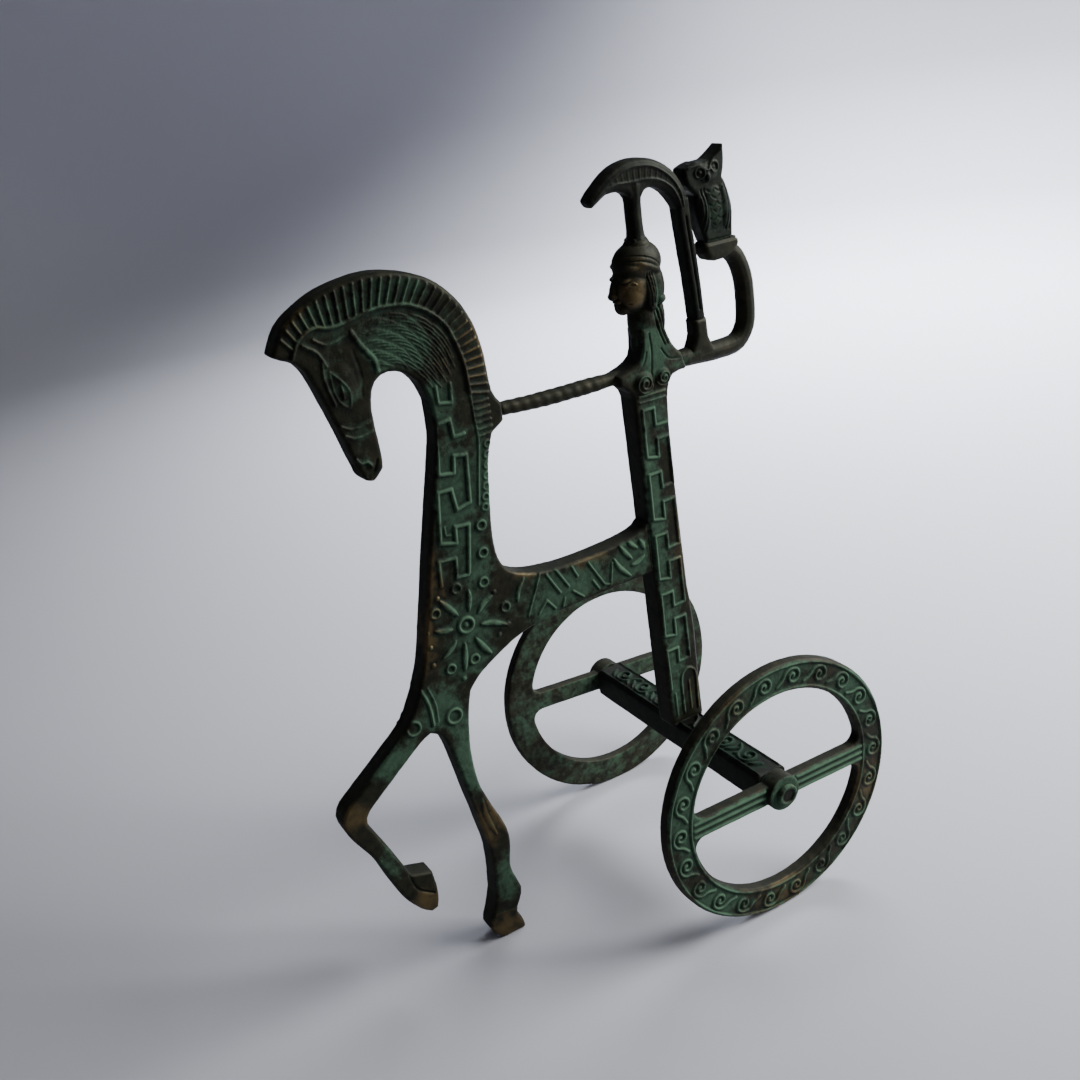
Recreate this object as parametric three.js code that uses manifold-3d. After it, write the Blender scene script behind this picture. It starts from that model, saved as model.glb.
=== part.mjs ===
// Bronze horse-and-charioteer statuette on two wheels.
// Millimetres, +Z up, +X towards the horse's head, +Y to the left-hand wheel.
// Every outline is drawn in the X-Z plane with x measured forward from the axle
// and z measured up from the surface that the hoof and the wheels stand on.
import * as THREE from 'three';
import { mergeVertices } from 'three/addons/utils/BufferGeometryUtils.js';
import Module from 'manifold-3d';

const wasm = await Module();
wasm.setup();

// ---------------------------------------------------------------- driving sizes
const horseLength = 87.3;          // front of the column to the raised knee
const statueHeight = 175;         // floor to the top of the helmet crest
const horseThickness = 5.2;
const charioteerThickness = 6;
const crestThickness = 3.4;
const owlThickness = 4.4;
const reinDiameter = 2.8;          // arm and rein in one, out to the mane
const raisedArmDiameter = 3.4;
const crestStemDiameter = 3;
const crestTailWidth = 2;          // along X
const castEdge = 0.5;              // rounding that the casting sand leaves on an edge

const wheelRadius = 33;
const wheelThickness = 2.8;
const rimWidth = 7.4;
const spokeWidth = 5;
const spokeFillet = 2.6;
const leftSpokeAngle = 2;          // degrees that the front end of the bar stands up
const rightSpokeAngle = 5;
const hubBossRadius = 4.4;
const hubBossHeight = 1.6;
const wheelTrack = 71;             // between the mid planes of the two wheels

const axleBarWidth = 8.2;          // along X
const axleBarHeight = 7.5;
const axleBarEdge = 0.8;

const pinShankRadius = 1.6;
const pinShankInBar = 9;
const pinHeadRadius = 2.7;
const pinHeadHeight = 1.1;

const brazeGap = 0.3;              // between castings that are brazed face to face
const runningClearance = 0.3;      // round the shank and beside a turning wheel
const pinSeatClearance = 0.1;      // round the shank in the bar

// ---------------------------------------------------------------- finishes
const finishes = {
  horse: { color: '#4f5c4b', roughness: 0.62, metalness: 0.55 },
  charioteer: { color: '#42574b', roughness: 0.6, metalness: 0.55 },
  crest: { color: '#3b382e', roughness: 0.55, metalness: 0.6 },
  owl: { color: '#3f4b3a', roughness: 0.62, metalness: 0.55 },
  axle: { color: '#2f3b34', roughness: 0.6, metalness: 0.6 },
  wheel: { color: '#56624c', roughness: 0.6, metalness: 0.55 },
  pin: { color: '#333a33', roughness: 0.5, metalness: 0.65 },
};

const finish = (name) => new THREE.MeshStandardMaterial(finishes[name]);

// ---------------------------------------------------------------- drawing frame
const drawnHorseLength = 87.3;
const drawnStatueHeight = 175;
const rise = statueHeight / drawnStatueHeight;
const reach = horseLength / drawnHorseLength;
const columnFrontX = 6.3;          // column face that the rump is brazed to
const columnTaper = 0.018;         // the column widens by this much per millimetre of rise
const columnTaperZ = 86;
const axleZ = wheelRadius;
const columnFootZ = axleZ + axleBarHeight / 2 + brazeGap;

const columnFrontAt = (z) => columnFrontX + columnTaper * (z - columnTaperZ * rise);

// Drawn positions of the charioteer stay put along X; the horse stretches with its length.
const figurePoint = ([x, z]) => new THREE.Vector2(x, z * rise);
const horsePoint = ([x, z]) =>
  new THREE.Vector2(columnFrontX + (x - columnFrontX) * reach, z * rise);

// An outline is a start point and a list of runs; a run is a smooth curve through its
// points, divided into evenly spaced chords, unless it is marked straight.
const chordLength = 1.8;

function outline(toPoint, start, runs) {
  const points = [toPoint(start)];
  for (const run of runs) {
    const through = run.points.map(toPoint);
    if (run.straight) {
      points.push(...through);
    } else {
      const curve = new THREE.SplineCurve([points.at(-1), ...through]);
      const chords = Math.max(2, Math.round(curve.getLength() / chordLength));
      points.push(...curve.getSpacedPoints(chords).slice(1));
    }
  }
  return new THREE.Shape(points);
}
const straight = (...points) => ({ straight: true, points });
const smooth = (...points) => ({ straight: false, points });

// ---------------------------------------------------------------- solids
// A cast plate of the given outline, centred on the X-Z plane, with softened edges.
function castPlate(shape, thickness, edge = castEdge) {
  const geometry = new THREE.ExtrudeGeometry(shape, {
    depth: thickness - 2 * edge,
    bevelEnabled: true,
    bevelThickness: edge,
    bevelSize: edge,
    bevelOffset: -edge,
    bevelSegments: 1,
  });
  geometry.translate(0, 0, edge - thickness / 2);
  geometry.rotateX(Math.PI / 2);
  return geometry;
}

// A round bar along a smooth centre line in the X-Z plane; radiusAt gives its radius
// from 0 at the start to 1 at the end.
function roundBar(centreLine, radiusAt, steps, sides = 12) {
  const curve = new THREE.CatmullRomCurve3(centreLine.map((p) => new THREE.Vector3(p.x, 0, p.y)));
  const positions = [];
  const indices = [];
  for (let i = 0; i <= steps; i += 1) {
    const t = i / steps;
    const centre = curve.getPoint(t);
    const tangent = curve.getTangent(t);
    const outward = new THREE.Vector3(tangent.z, 0, -tangent.x);
    const radius = radiusAt(t);
    for (let k = 0; k < sides; k += 1) {
      const angle = (2 * Math.PI * k) / sides;
      positions.push(
        centre.x + radius * Math.cos(angle) * outward.x,
        radius * Math.sin(angle),
        centre.z + radius * Math.cos(angle) * outward.z,
      );
    }
  }
  for (let i = 0; i < steps; i += 1) {
    for (let k = 0; k < sides; k += 1) {
      const a = i * sides + k;
      const b = i * sides + ((k + 1) % sides);
      indices.push(a, b, a + sides, b, b + sides, a + sides);
    }
  }
  const startCap = positions.length / 3;
  for (const t of [0, 1]) {
    const centre = curve.getPoint(t);
    positions.push(centre.x, centre.y, centre.z);
  }
  const lastRing = steps * sides;
  for (let k = 0; k < sides; k += 1) {
    const next = (k + 1) % sides;
    indices.push(startCap, next, k);
    indices.push(startCap + 1, lastRing + k, lastRing + next);
  }
  const geometry = new THREE.BufferGeometry();
  geometry.setAttribute('position', new THREE.Float32BufferAttribute(positions, 3));
  geometry.setIndex(indices);
  return geometry;
}

function toSolid(geometry) {
  const bare = geometry.clone();
  bare.deleteAttribute('normal');
  bare.deleteAttribute('uv');
  const merged = mergeVertices(bare);
  return new wasm.Manifold(new wasm.Mesh({
    numProp: 3,
    vertProperties: new Float32Array(merged.attributes.position.array),
    triVerts: new Uint32Array(merged.index.array),
  }));
}

function toGeometry(solid) {
  const mesh = solid.getMesh();
  const geometry = new THREE.BufferGeometry();
  geometry.setAttribute('position', new THREE.BufferAttribute(new Float32Array(mesh.vertProperties), 3));
  geometry.setIndex(new THREE.BufferAttribute(new Uint32Array(mesh.triVerts), 1));
  geometry.computeVertexNormals();
  return geometry;
}

const joined = (...geometries) => geometries.map(toSolid).reduce((sum, part) => sum.add(part));

// A round solid about the Y axis from a profile of [radius, y] pairs.
function turned(profile, segments = 32) {
  const points = profile.map(([radius, y]) => new THREE.Vector2(radius, y));
  return new THREE.LatheGeometry(points, segments);
}

function named(name, geometry, material) {
  const mesh = new THREE.Mesh(geometry, material);
  mesh.name = name;
  return mesh;
}

// ---------------------------------------------------------------- horse
const lugFaceX = 40.2;             // flat end of the lug behind the mane
const lugTopZ = 132.2;
const lugBottomZ = 128.4;
const rumpTopZ = 93.6;
const rumpBottomZ = 80.8;

const rumpEnd = (z) => [columnFrontAt(z * rise) + brazeGap, z];

function horse() {
  // The rump's end follows the column, so it isn't stretched with the horse.
  const placed = (point) => (point.fixed ? figurePoint(point.fixed) : horsePoint(point));
  const end = (z) => ({ fixed: rumpEnd(z) });
  const shape = outline(placed, [lugFaceX, lugTopZ], [
    smooth([41.6, 134.4], [42.2, 138], [42.4, 143], [43.6, 149.4], [46.3, 155.2], [51.4, 160.6],
      [57.5, 163.4], [64.5, 164.6], [72.8, 163.7], [79, 161.4], [83.6, 158.2], [86.4, 153.6]),
    smooth([84.2, 152.3], [82.2, 151.2], [80.2, 148.4], [78.3, 142.8], [76.1, 135.4], [74.1, 128],
      [72.9, 124.7]),
    smooth([71.4, 123.8], [70.3, 124.8], [68.8, 126.4], [68.6, 131], [68.9, 137.6], [68, 142.4],
      [66.2, 144.6], [63.6, 145.2], [60.4, 144], [57.6, 141], [56, 136.6]),
    smooth([56.3, 128], [58.5, 119.3], [60.9, 109.8], [63.4, 99.6], [65.8, 89.4], [68.4, 79.4],
      [70.8, 73.4]),
    smooth([74.4, 67.2], [80.2, 62.2], [87.7, 56.5], [92, 53.2]),
    smooth([93.6, 50.2], [92.3, 45.4], [88.4, 38.1], [85.8, 30.5], [83.3, 24.2], [80.2, 19.6], [77.6, 17.4]),
    smooth([76, 17.9], [75.3, 22.4], [75.9, 28]),
    straight([81, 29.6]),
    smooth([83, 35], [85.9, 42], [88.3, 47.4]),
    smooth([87.6, 50], [84.8, 52.4], [77.9, 57.7], [72.4, 61.8], [69.6, 63]),
    smooth([67.2, 61.2], [65.5, 56.4], [63.7, 46], [61.7, 35], [60.3, 26], [60.4, 19], [61, 13]),
    smooth([62.4, 8.2], [63.8, 4.4], [62.4, 1.4], [60.4, 0]),
    straight([54.8, 0]),
    smooth([55.2, 2.6], [56.3, 5.6], [54.9, 8.6], [54.1, 11.2], [55, 14.6], [56, 19], [55, 27],
      [56, 32.4], [58.6, 39.4], [60.4, 46], [60.8, 55], [59.7, 64], [58.3, 69.4]),
    smooth([55.6, 72.2], [51.2, 74.9], [45.2, 77.8], [38, 79.5], [30, 80.2], [20, 80.5]),
    straight(end(rumpBottomZ), end(rumpTopZ)),
    smooth([8.9, 92], [14, 91.1], [22, 90.6], [31, 90.8], [38.6, 91.9], [43.8, 94.2], [46.4, 98],
      [46.9, 104], [46.1, 113], [45, 121.4], [43.2, 126.6]),
    straight([lugFaceX, lugBottomZ]),
  ]);
  return named('horse', castPlate(shape, horseThickness), finish('horse'));
}

// ---------------------------------------------------------------- charioteer
const shoulderZ = 129.3;           // centre of the outstretched arm
const crestStemX = 0.5;
const helmetTopZ = 157.5;
const chinZ = 143.8;
const crestTailFootX = -14;
const crestTailFootZ = 137.4;
const handTopZ = 154.2;
const owlFootX = -20.9;
const faceHeight = (helmetTopZ - chinZ) * 0.78;

// Heights on the face in fractions of its own length, chin at 0 and brow line at 1.
const faceZ = (fraction) => chinZ + faceHeight * fraction;

function charioteer() {
  const foot = columnFootZ / rise;
  const front = (z) => [columnFrontAt(z * rise), z];
  const shape = outline(figurePoint, front(foot), [
    straight(front(124)),
    smooth([8, 126.4], [10.4, 127.8]),
    straight([10.4, 130]),
    smooth([6.4, 131.2], [3.9, 133], [3.3, 136.4], [3.3, 141.2]),
    smooth([4.6, 143], [5.6, faceZ(0)]),
    smooth([6.4, faceZ(0.04)], [6.6, faceZ(0.12)], [6.4, faceZ(0.2)], [6.8, faceZ(0.27)],
      [6.6, faceZ(0.33)], [6.9, faceZ(0.39)]),
    smooth([7.6, faceZ(0.46)], [7.2, faceZ(0.6)], [6.6, faceZ(0.78)], [6.5, faceZ(0.86)]),
    smooth([6.9, faceZ(0.94)], [6.9, faceZ(1.06)], [5.2, helmetTopZ - 0.8], [2.4, helmetTopZ]),
    straight([crestStemX - 1.6, helmetTopZ]),
    smooth([-3.2, 156.2], [-4.3, 153], [-3.8, 149.8], [-2.9, 148.2], [-3.6, 146], [-3.2, 143.6],
      [-2.7, 141.4]),
    smooth([-3.4, 137.4], [-5, 133.8], [-7, 131.6]),
    straight([-8, 127.8]),
    smooth([-4.6, 127.4], [-3, 125.6], [-2.2, 122]),
    smooth([-1.9, 112], [-2.1, 100], [-2.5, 86], [-2.9, 74]),
    smooth([-3.4, 69], [-3.9, 61.6], [-3.9, 54], [-3.9, 47]),
    straight([-4.2, foot]),
  ]);

  const rein = roundBar(
    [[8, shoulderZ], [18, shoulderZ + 0.1], [30, shoulderZ + 0.3]].map(figurePoint)
      .concat(new THREE.Vector2(
        horsePoint([lugFaceX, 0]).x - brazeGap,
        ((lugTopZ + lugBottomZ) / 2) * rise,
      )),
    (t) => (reinDiameter / 2) * (1 + 0.12 * Math.sin(Math.PI * t) - 0.1 * t),
    10,
  );
  const raisedArm = roundBar(
    [[-6, 129.5], [-12, 129.2], [-19, 128.8], [-25.2, 129.4], [-28.1, 132.8], [-28.7, 139],
      [-28, 145.6], [-25.5, 150.4], [-21.4, 152.6]].map(figurePoint),
    (t) => (raisedArmDiameter / 2) * (1 + 0.1 * Math.sin(Math.PI * t)),
    26,
  );
  const fist = castPlate(
    outline(figurePoint, [-25.8, handTopZ], [
      smooth([-26, 152.4], [-23.8, 150.8], [-20.8, 150.2], [-18.2, 150.4], [-16.9, 152]),
      straight([-16.7, handTopZ]),
    ]),
    raisedArmDiameter + 0.6,
  );
  const tailStub = castPlate(
    outline(figurePoint, [crestTailFootX + crestTailWidth / 2 + 0.5, crestTailFootZ], [
      smooth([-12.6, 133.6], [-11.6, 131.6], [-10.8, 129.4]),
      straight([-18, 128.8]),
      smooth([-16.8, 130.6], [-15.8, 132.8]),
      straight([crestTailFootX - crestTailWidth / 2 - 0.5, crestTailFootZ]),
    ]),
    crestThickness,
  );
  const body = castPlate(shape, charioteerThickness);
  return named('charioteer', toGeometry(joined(body, rein, raisedArm, fist, tailStub)), finish('charioteer'));
}

// ---------------------------------------------------------------- helmet crest
function helmetCrest() {
  const bow = outline(figurePoint, [12.5, 168.6], [
    smooth([10.8, 170.3], [7.6, 172.8], [4.6, 174.3], [0.8, 175], [-3.5, 174.5], [-7, 172.9],
      [-9.9, 170.6], [-12.1, 167.2], [-12.8, 163.4]),
    straight([-10.8, 162.8]),
    smooth([-9.7, 164.6], [-7.9, 167], [-5.2, 168.8], [-2.2, 169.5], [2, 169.5], [5.4, 169.8],
      [8.2, 169.5]),
    straight([11.8, 167.4]),
  ]);
  const foot = brazeGap / rise;
  const stem = roundBar(
    [[crestStemX, helmetTopZ + foot], [crestStemX, 163], [crestStemX, 171]].map(figurePoint),
    (t) => (crestStemDiameter / 2) * (1 + 0.35 * (2 * t - 1) ** 4),
    8,
  );
  const half = crestTailWidth / 2;
  const tail = outline(figurePoint, [crestTailFootX - half, crestTailFootZ + foot], [
    straight([crestTailFootX + half, crestTailFootZ + foot]),
    smooth([-13.5 + half, 145], [-12.7 + half, 153], [-12 + half, 159], [-11.6 + half, 164]),
    straight([-11.9 - half, 165]),
    smooth([-12.3 - half, 159], [-13 - half, 153], [-13.7 - half, 145]),
  ]);
  const crest = joined(castPlate(bow, crestThickness), stem, castPlate(tail, crestThickness, castEdge / 2));
  return named('helmet_crest', toGeometry(crest), finish('crest'));
}

// ---------------------------------------------------------------- owl
function owl() {
  const footHalf = 3.7;
  const footZ = handTopZ + brazeGap / rise;
  const shape = outline(figurePoint, [owlFootX + footHalf, footZ], [
    smooth([-16.2, 157.6], [-15.3, 161.2], [-15.2, 165]),
    smooth([-13.4, 166.9], [-12.5, 169], [-12.4, 171]),
    smooth([-15.4, 172], [-18.1, 171.7], [-20.6, 172.6], [-23.6, 174.8]),
    smooth([-23.5, 170.8], [-22.7, 167.8]),
    smooth([-24, 165.4], [-25, 161], [-24.8, 157.6], [owlFootX - footHalf, footZ]),
  ]);
  return named('owl', castPlate(shape, owlThickness), finish('owl'));
}

// ---------------------------------------------------------------- wheels
const wheelMidY = wheelTrack / 2;
const rimSegments = 72;
const barHalfLength = wheelMidY - wheelThickness / 2 - runningClearance;

// Points along an arc, both ends included.
function arcPoints(centreX, centreZ, radius, fromAngle, toAngle, steps) {
  return Array.from({ length: steps + 1 }, (_, i) => {
    const angle = fromAngle + ((toAngle - fromAngle) * i) / steps;
    return new THREE.Vector2(centreX + radius * Math.cos(angle), centreZ + radius * Math.sin(angle));
  });
}

// One of the two openings between rim and spoke bar, above (+1) or below (-1) the bar.
function wheelOpening(side) {
  const innerRadius = wheelRadius - rimWidth;
  const cornerZ = spokeWidth / 2 + spokeFillet;
  const cornerX = Math.sqrt((innerRadius - spokeFillet) ** 2 - cornerZ ** 2);
  const cornerAngle = Math.atan2(cornerZ, cornerX);
  const filletSteps = 4;
  const points = [
    ...arcPoints(cornerX, cornerZ, spokeFillet, -Math.PI / 2, cornerAngle, filletSteps),
    ...arcPoints(0, 0, innerRadius, cornerAngle, Math.PI - cornerAngle, rimSegments / 2 - 4).slice(1, -1),
    ...arcPoints(-cornerX, cornerZ, spokeFillet, Math.PI - cornerAngle, Math.PI * 1.5, filletSteps),
  ];
  return new THREE.Path(points.map((point) => new THREE.Vector2(point.x, side * point.y)));
}

// A wheel about the Y axis with its decorated face towards +Y.
function wheelGeometry() {
  const disc = new THREE.Shape(arcPoints(0, 0, wheelRadius, 0, 2 * Math.PI, rimSegments).slice(0, -1));
  disc.holes.push(wheelOpening(1), wheelOpening(-1));
  const faceY = wheelThickness / 2;
  const boss = turned([
    [0, -faceY], [hubBossRadius, -faceY], [hubBossRadius, faceY + hubBossHeight - castEdge / 2],
    [hubBossRadius - castEdge / 2, faceY + hubBossHeight], [0, faceY + hubBossHeight],
  ]);
  const boreRadius = pinShankRadius + runningClearance;
  const overrun = 1;
  const bore = turned([
    [0, -faceY - overrun], [boreRadius, -faceY - overrun],
    [boreRadius, faceY + hubBossHeight + overrun], [0, faceY + hubBossHeight + overrun],
  ]);
  return toGeometry(joined(castPlate(disc, wheelThickness, castEdge / 2), boss).subtract(toSolid(bore)));
}

// A headed pin about the Y axis, head outwards, with y measured from the wheel's mid plane.
function pinGeometry() {
  const headSeatY = wheelThickness / 2 + hubBossHeight + runningClearance;
  const tipY = -wheelThickness / 2 - runningClearance - pinShankInBar;
  const chamfer = pinShankRadius / 4;
  return turned([
    [0, tipY], [pinShankRadius - chamfer, tipY], [pinShankRadius, tipY + chamfer],
    [pinShankRadius, headSeatY], [pinHeadRadius, headSeatY],
    [pinHeadRadius, headSeatY + pinHeadHeight * 0.45],
    [pinHeadRadius * 0.86, headSeatY + pinHeadHeight * 0.78],
    [pinHeadRadius * 0.5, headSeatY + pinHeadHeight * 0.96], [0, headSeatY + pinHeadHeight],
  ], 24);
}

function wheelSet(side, spokeAngle) {
  const label = side > 0 ? 'left' : 'right';
  const set = new THREE.Group();
  set.position.set(0, side * wheelMidY, axleZ);
  const wheel = named(`${label}_wheel`, wheelGeometry(), finish('wheel'));
  const pin = named(`${label}_axle_pin`, pinGeometry(), finish('pin'));
  const facing = side > 0 ? 0 : Math.PI;
  wheel.rotation.set(0, -THREE.MathUtils.degToRad(spokeAngle), facing, 'YXZ');
  pin.rotation.z = facing;
  set.add(wheel, pin);
  return set;
}

// ---------------------------------------------------------------- axle bar
function axleBar() {
  const halfWidth = axleBarWidth / 2;
  const halfHeight = axleBarHeight / 2;
  const section = new THREE.Shape();
  section.moveTo(-halfWidth + axleBarEdge, -halfHeight);
  section.lineTo(halfWidth - axleBarEdge, -halfHeight);
  section.lineTo(halfWidth, -halfHeight + axleBarEdge);
  section.lineTo(halfWidth, halfHeight - axleBarEdge);
  section.lineTo(halfWidth - axleBarEdge, halfHeight);
  section.lineTo(-halfWidth + axleBarEdge, halfHeight);
  section.lineTo(-halfWidth, halfHeight - axleBarEdge);
  section.lineTo(-halfWidth, -halfHeight + axleBarEdge);
  section.closePath();
  const bar = new THREE.ExtrudeGeometry(section, { depth: 2 * barHalfLength, bevelEnabled: false });
  bar.translate(0, 0, -barHalfLength);
  bar.rotateX(Math.PI / 2);
  const boreRadius = pinShankRadius + pinSeatClearance;
  const boreDepth = pinShankInBar + runningClearance;
  const overrun = 1;
  let solid = toSolid(bar);
  for (const side of [1, -1]) {
    const drill = turned([
      [0, barHalfLength - boreDepth], [boreRadius, barHalfLength - boreDepth],
      [boreRadius, barHalfLength + overrun], [0, barHalfLength + overrun],
    ], 24);
    if (side < 0) drill.rotateZ(Math.PI);
    solid = solid.subtract(toSolid(drill));
  }
  const mesh = named('axle_bar', toGeometry(solid), finish('axle'));
  mesh.position.z = axleZ;
  return mesh;
}

// ---------------------------------------------------------------- assembly
const statue = new THREE.Group();
statue.add(
  horse(), charioteer(), helmetCrest(), owl(), axleBar(),
  wheelSet(1, leftSpokeAngle), wheelSet(-1, rightSpokeAngle),
);

// The origin is on the standing surface, under the middle of the whole statuette.
statue.updateMatrixWorld(true);
const extent = new THREE.Box3().setFromObject(statue, true);
statue.position.x = -(extent.min.x + extent.max.x) / 2;
statue.updateMatrixWorld(true);

export default statue;
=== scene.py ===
"""Bronze horse and charioteer on two wheels: the finished castings on the fixed CAD frame.

Every object is in metres in the frame of the CAD model. Drawn sizes are in millimetres,
with x measured forward from the axle and z up from the surface that the hoof stands on.
"""

import logging
import math
from contextlib import contextmanager
from dataclasses import dataclass
from enum import Enum
from typing import Callable, Iterable, Iterator, Sequence

import bpy
import numpy as np
from mathutils import Matrix, Vector


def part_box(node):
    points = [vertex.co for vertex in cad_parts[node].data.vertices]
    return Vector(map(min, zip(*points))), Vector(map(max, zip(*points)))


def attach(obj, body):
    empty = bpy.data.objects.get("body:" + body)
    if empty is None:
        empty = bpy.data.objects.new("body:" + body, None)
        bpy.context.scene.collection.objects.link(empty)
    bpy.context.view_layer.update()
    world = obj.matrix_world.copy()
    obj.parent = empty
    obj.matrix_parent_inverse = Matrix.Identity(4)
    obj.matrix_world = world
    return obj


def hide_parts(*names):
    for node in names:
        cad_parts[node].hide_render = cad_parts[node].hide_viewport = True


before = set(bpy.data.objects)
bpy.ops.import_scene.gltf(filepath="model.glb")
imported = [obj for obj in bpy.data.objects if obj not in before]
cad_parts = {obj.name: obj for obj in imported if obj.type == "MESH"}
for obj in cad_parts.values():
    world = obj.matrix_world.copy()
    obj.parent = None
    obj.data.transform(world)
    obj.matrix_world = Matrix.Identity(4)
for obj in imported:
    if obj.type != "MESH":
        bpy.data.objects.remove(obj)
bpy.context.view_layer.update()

LOG = logging.getLogger("statuette")
MM = 0.001
AXLE_X = sum(corner.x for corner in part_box("left_wheel")) / 2
AXLE_Z = sum(corner.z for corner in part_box("left_wheel")) / 2
TO_OTHER_SIDE = Matrix.Diagonal((1, -1, 1, 1))
SAME_PLACE = 0.001 * MM      # vertices closer than this are one
SMALL_SKIN_MM = 0.16         # spacing of the skin of pins and seams
COARSE = 1.0      # coarser casting skin while trying things

Point = tuple[float, float]
Piece, Mesh = bpy.types.Object, bpy.types.Mesh


# ---------------------------------------------------------------- drawing
def smooth_path(points: Sequence[Point], step: float = 0.6) -> tuple[Point, ...]:
    """Draws a smooth curve through points.

    Args:
        points: the points, in drawn millimetres.
        step: distance between the points of the curve.
    Returns:
        The curve as closely spaced points.
    """
    p = np.array([points[0], *points, points[-1]], float)
    path = []
    for i in range(1, len(p) - 2):
        steps = max(2, int(np.linalg.norm(p[i + 1] - p[i]) / step))
        for t in np.linspace(0, 1, steps, endpoint=False):
            path.append(tuple(0.5 * (
                2 * p[i] + (p[i + 1] - p[i - 1]) * t
                + (2 * p[i - 1] - 5 * p[i] + 4 * p[i + 1] - p[i + 2]) * t ** 2
                + (3 * p[i] - p[i - 1] - 3 * p[i + 1] + p[i + 2]) * t ** 3)))
    return (*path, tuple(p[-1]))


def circle(x: float, z: float, radius: float) -> tuple[Point, ...]:
    """Points round a circle about (x, z), the first one repeated at the end."""
    turns = np.linspace(0, 2 * math.pi, 17)
    return tuple((x + radius * math.cos(a), z + radius * math.sin(a)) for a in turns)


def spiral(x: float, z: float, radius: float, start: float, turns: float) -> tuple[Point, ...]:
    """Draws a spiral that winds inwards.

    Args:
        x: centre, forward of the axle.
        z: centre, above the floor.
        radius: radius at its outer end.
        start: direction of the outer end in degrees.
        turns: how often it goes round, negative for clockwise.
    Returns:
        The points along it.
    """
    t = np.linspace(0, 1, max(8, int(abs(turns) * 14)))
    angle = math.radians(start) + 2 * math.pi * turns * t
    r = radius * (1 - 0.86 * t)      # leaves a small eye in the middle
    return tuple(zip((x + r * np.cos(angle)).tolist(), (z + r * np.sin(angle)).tolist()))


def along(points: Sequence[Point], shares: Iterable[float]) -> list[Point]:
    """Finds the places at shares, from 0 to 1, of the length of a line."""
    p = np.array(points, float)
    length = np.r_[0, np.cumsum(np.linalg.norm(np.diff(p, axis=0), axis=1))]
    at = np.array(list(shares)) * length[-1]
    return list(zip(np.interp(at, length, p[:, 0]), np.interp(at, length, p[:, 1])))


@dataclass(frozen=True)
class Ridge:
    """One line of the cast ornament: raised where height is positive, cut in where negative."""

    path: tuple[Point, ...]
    width: float = 1.05
    height: float = 0.4
    leaf: bool = False           # widest in the middle and pointed at both ends


def curve(width: float, height: float, *points: Point, leaf: bool = False) -> Ridge:
    """A smooth line of ornament through points."""
    return Ridge(smooth_path(points), width, height, leaf)


def ring(x: float, z: float, radius: float, width: float, height: float) -> Ridge:
    """A round line of ornament about (x, z)."""
    return Ridge(circle(x, z, radius), width, height)


def dot(x: float, z: float, width: float, height: float) -> Ridge:
    """A bead of ornament at (x, z)."""
    return Ridge(((x, z), (x + 0.1, z)), width, height)


class Ornament:
    """All the lines that one face of a casting carries."""

    def __init__(self, ridges: Iterable[Ridge]) -> None:
        """Keeps the lines."""
        self.ridges = tuple(ridges)

    def height_at(self, u: np.ndarray, v: np.ndarray) -> np.ndarray:
        """Height of the ornament over its ground.

        Args:
            u: drawn millimetres across the face, one value per vertex.
            v: drawn millimetres up the face, one value per vertex.
        Returns:
            Height in millimetres, one value per vertex.
        """
        raised, cut = np.zeros_like(u), np.zeros_like(u)
        for ridge in self.ridges:
            line = np.array(ridge.path, float)
            low, high = line.min(0) - ridge.width, line.max(0) + ridge.width
            near = np.flatnonzero((u > low[0]) & (u < high[0]) & (v > low[1]) & (v < high[1]))
            if not near.size:
                continue
            here = np.stack([u[near], v[near]], 1)
            nearest = np.full(near.size, 9.0)
            count = len(line) - 1
            for i in range(count):
                run = line[i + 1] - line[i]
                share = np.clip((here - line[i]) @ run / max(run @ run, 1e-9), 0, 1)
                gap = np.linalg.norm(here - line[i] - share[:, None] * run, axis=1)
                half = np.full(near.size, ridge.width / 2)
                if ridge.leaf:
                    half *= LEAF_TIP + (1 - LEAF_TIP) * np.sin(math.pi * (i + share) / count)
                nearest = np.minimum(nearest, gap / half)
            t = np.clip((1.0 - nearest) / FLANK, 0, 1)
            profile = t * t * (3 - 2 * t) * ridge.height
            if ridge.height > 0:
                raised[near] = np.maximum(raised[near], profile)
            else:
                cut[near] = np.minimum(cut[near], profile)
        return raised + cut


@dataclass(frozen=True)
class CastFace:
    """A face that carries ornament: the axis it looks along and the axes drawn on it."""

    across: int
    up: int
    out: int
    side: float
    origin: tuple[float, float, float]
    turn: float = 0.0            # degrees that the drawing is turned on the face

    def drawn(self, places: np.ndarray) -> tuple[np.ndarray, np.ndarray]:
        """Vertex places in metres as drawn millimetres across and up this face."""
        u = (places[:, self.across] - self.origin[self.across]) / MM
        v = (places[:, self.up] - self.origin[self.up]) / MM
        c, s = math.cos(math.radians(self.turn)), math.sin(math.radians(self.turn))
        return u * c + v * s, v * c - u * s


# How squarely a face must look along its axis to carry ornament, and over what it fades in.
FACING_FROM, FACING_OVER = 0.45, 0.4
TOP_FACING = 0.4             # how squarely the top of a line must look to be aged as one
NARROW_SIDE = 0.75           # a plate's side turned further than this is painted dark, as shade
FULL_HEIGHT = 0.4            # millimetres at which a line counts as fully raised
FLANK = 0.75                 # share of a line's half width that slopes down to the ground
LEAF_TIP = 0.3               # a leaf's width at its tips as a share of its middle

NEAR, FAR = 10, 60           # rounds of averaging for a close and a wide neighbourhood
# Millimetres at which a groove, a fold and an edge count in full on a casting, and on small parts.
GROOVE_MM, FOLD_MM, EDGE_MM = 0.10, 0.35, 0.12
SMALL_GROOVE_MM, SMALL_EDGE_MM = 0.08, 0.1

PLATE_ORIGIN = (AXLE_X, 0.0, 0.0)
LEFT_FACE = CastFace(0, 2, 1, 1.0, PLATE_ORIGIN)
RIGHT_FACE = CastFace(0, 2, 1, -1.0, PLATE_ORIGIN)


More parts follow.
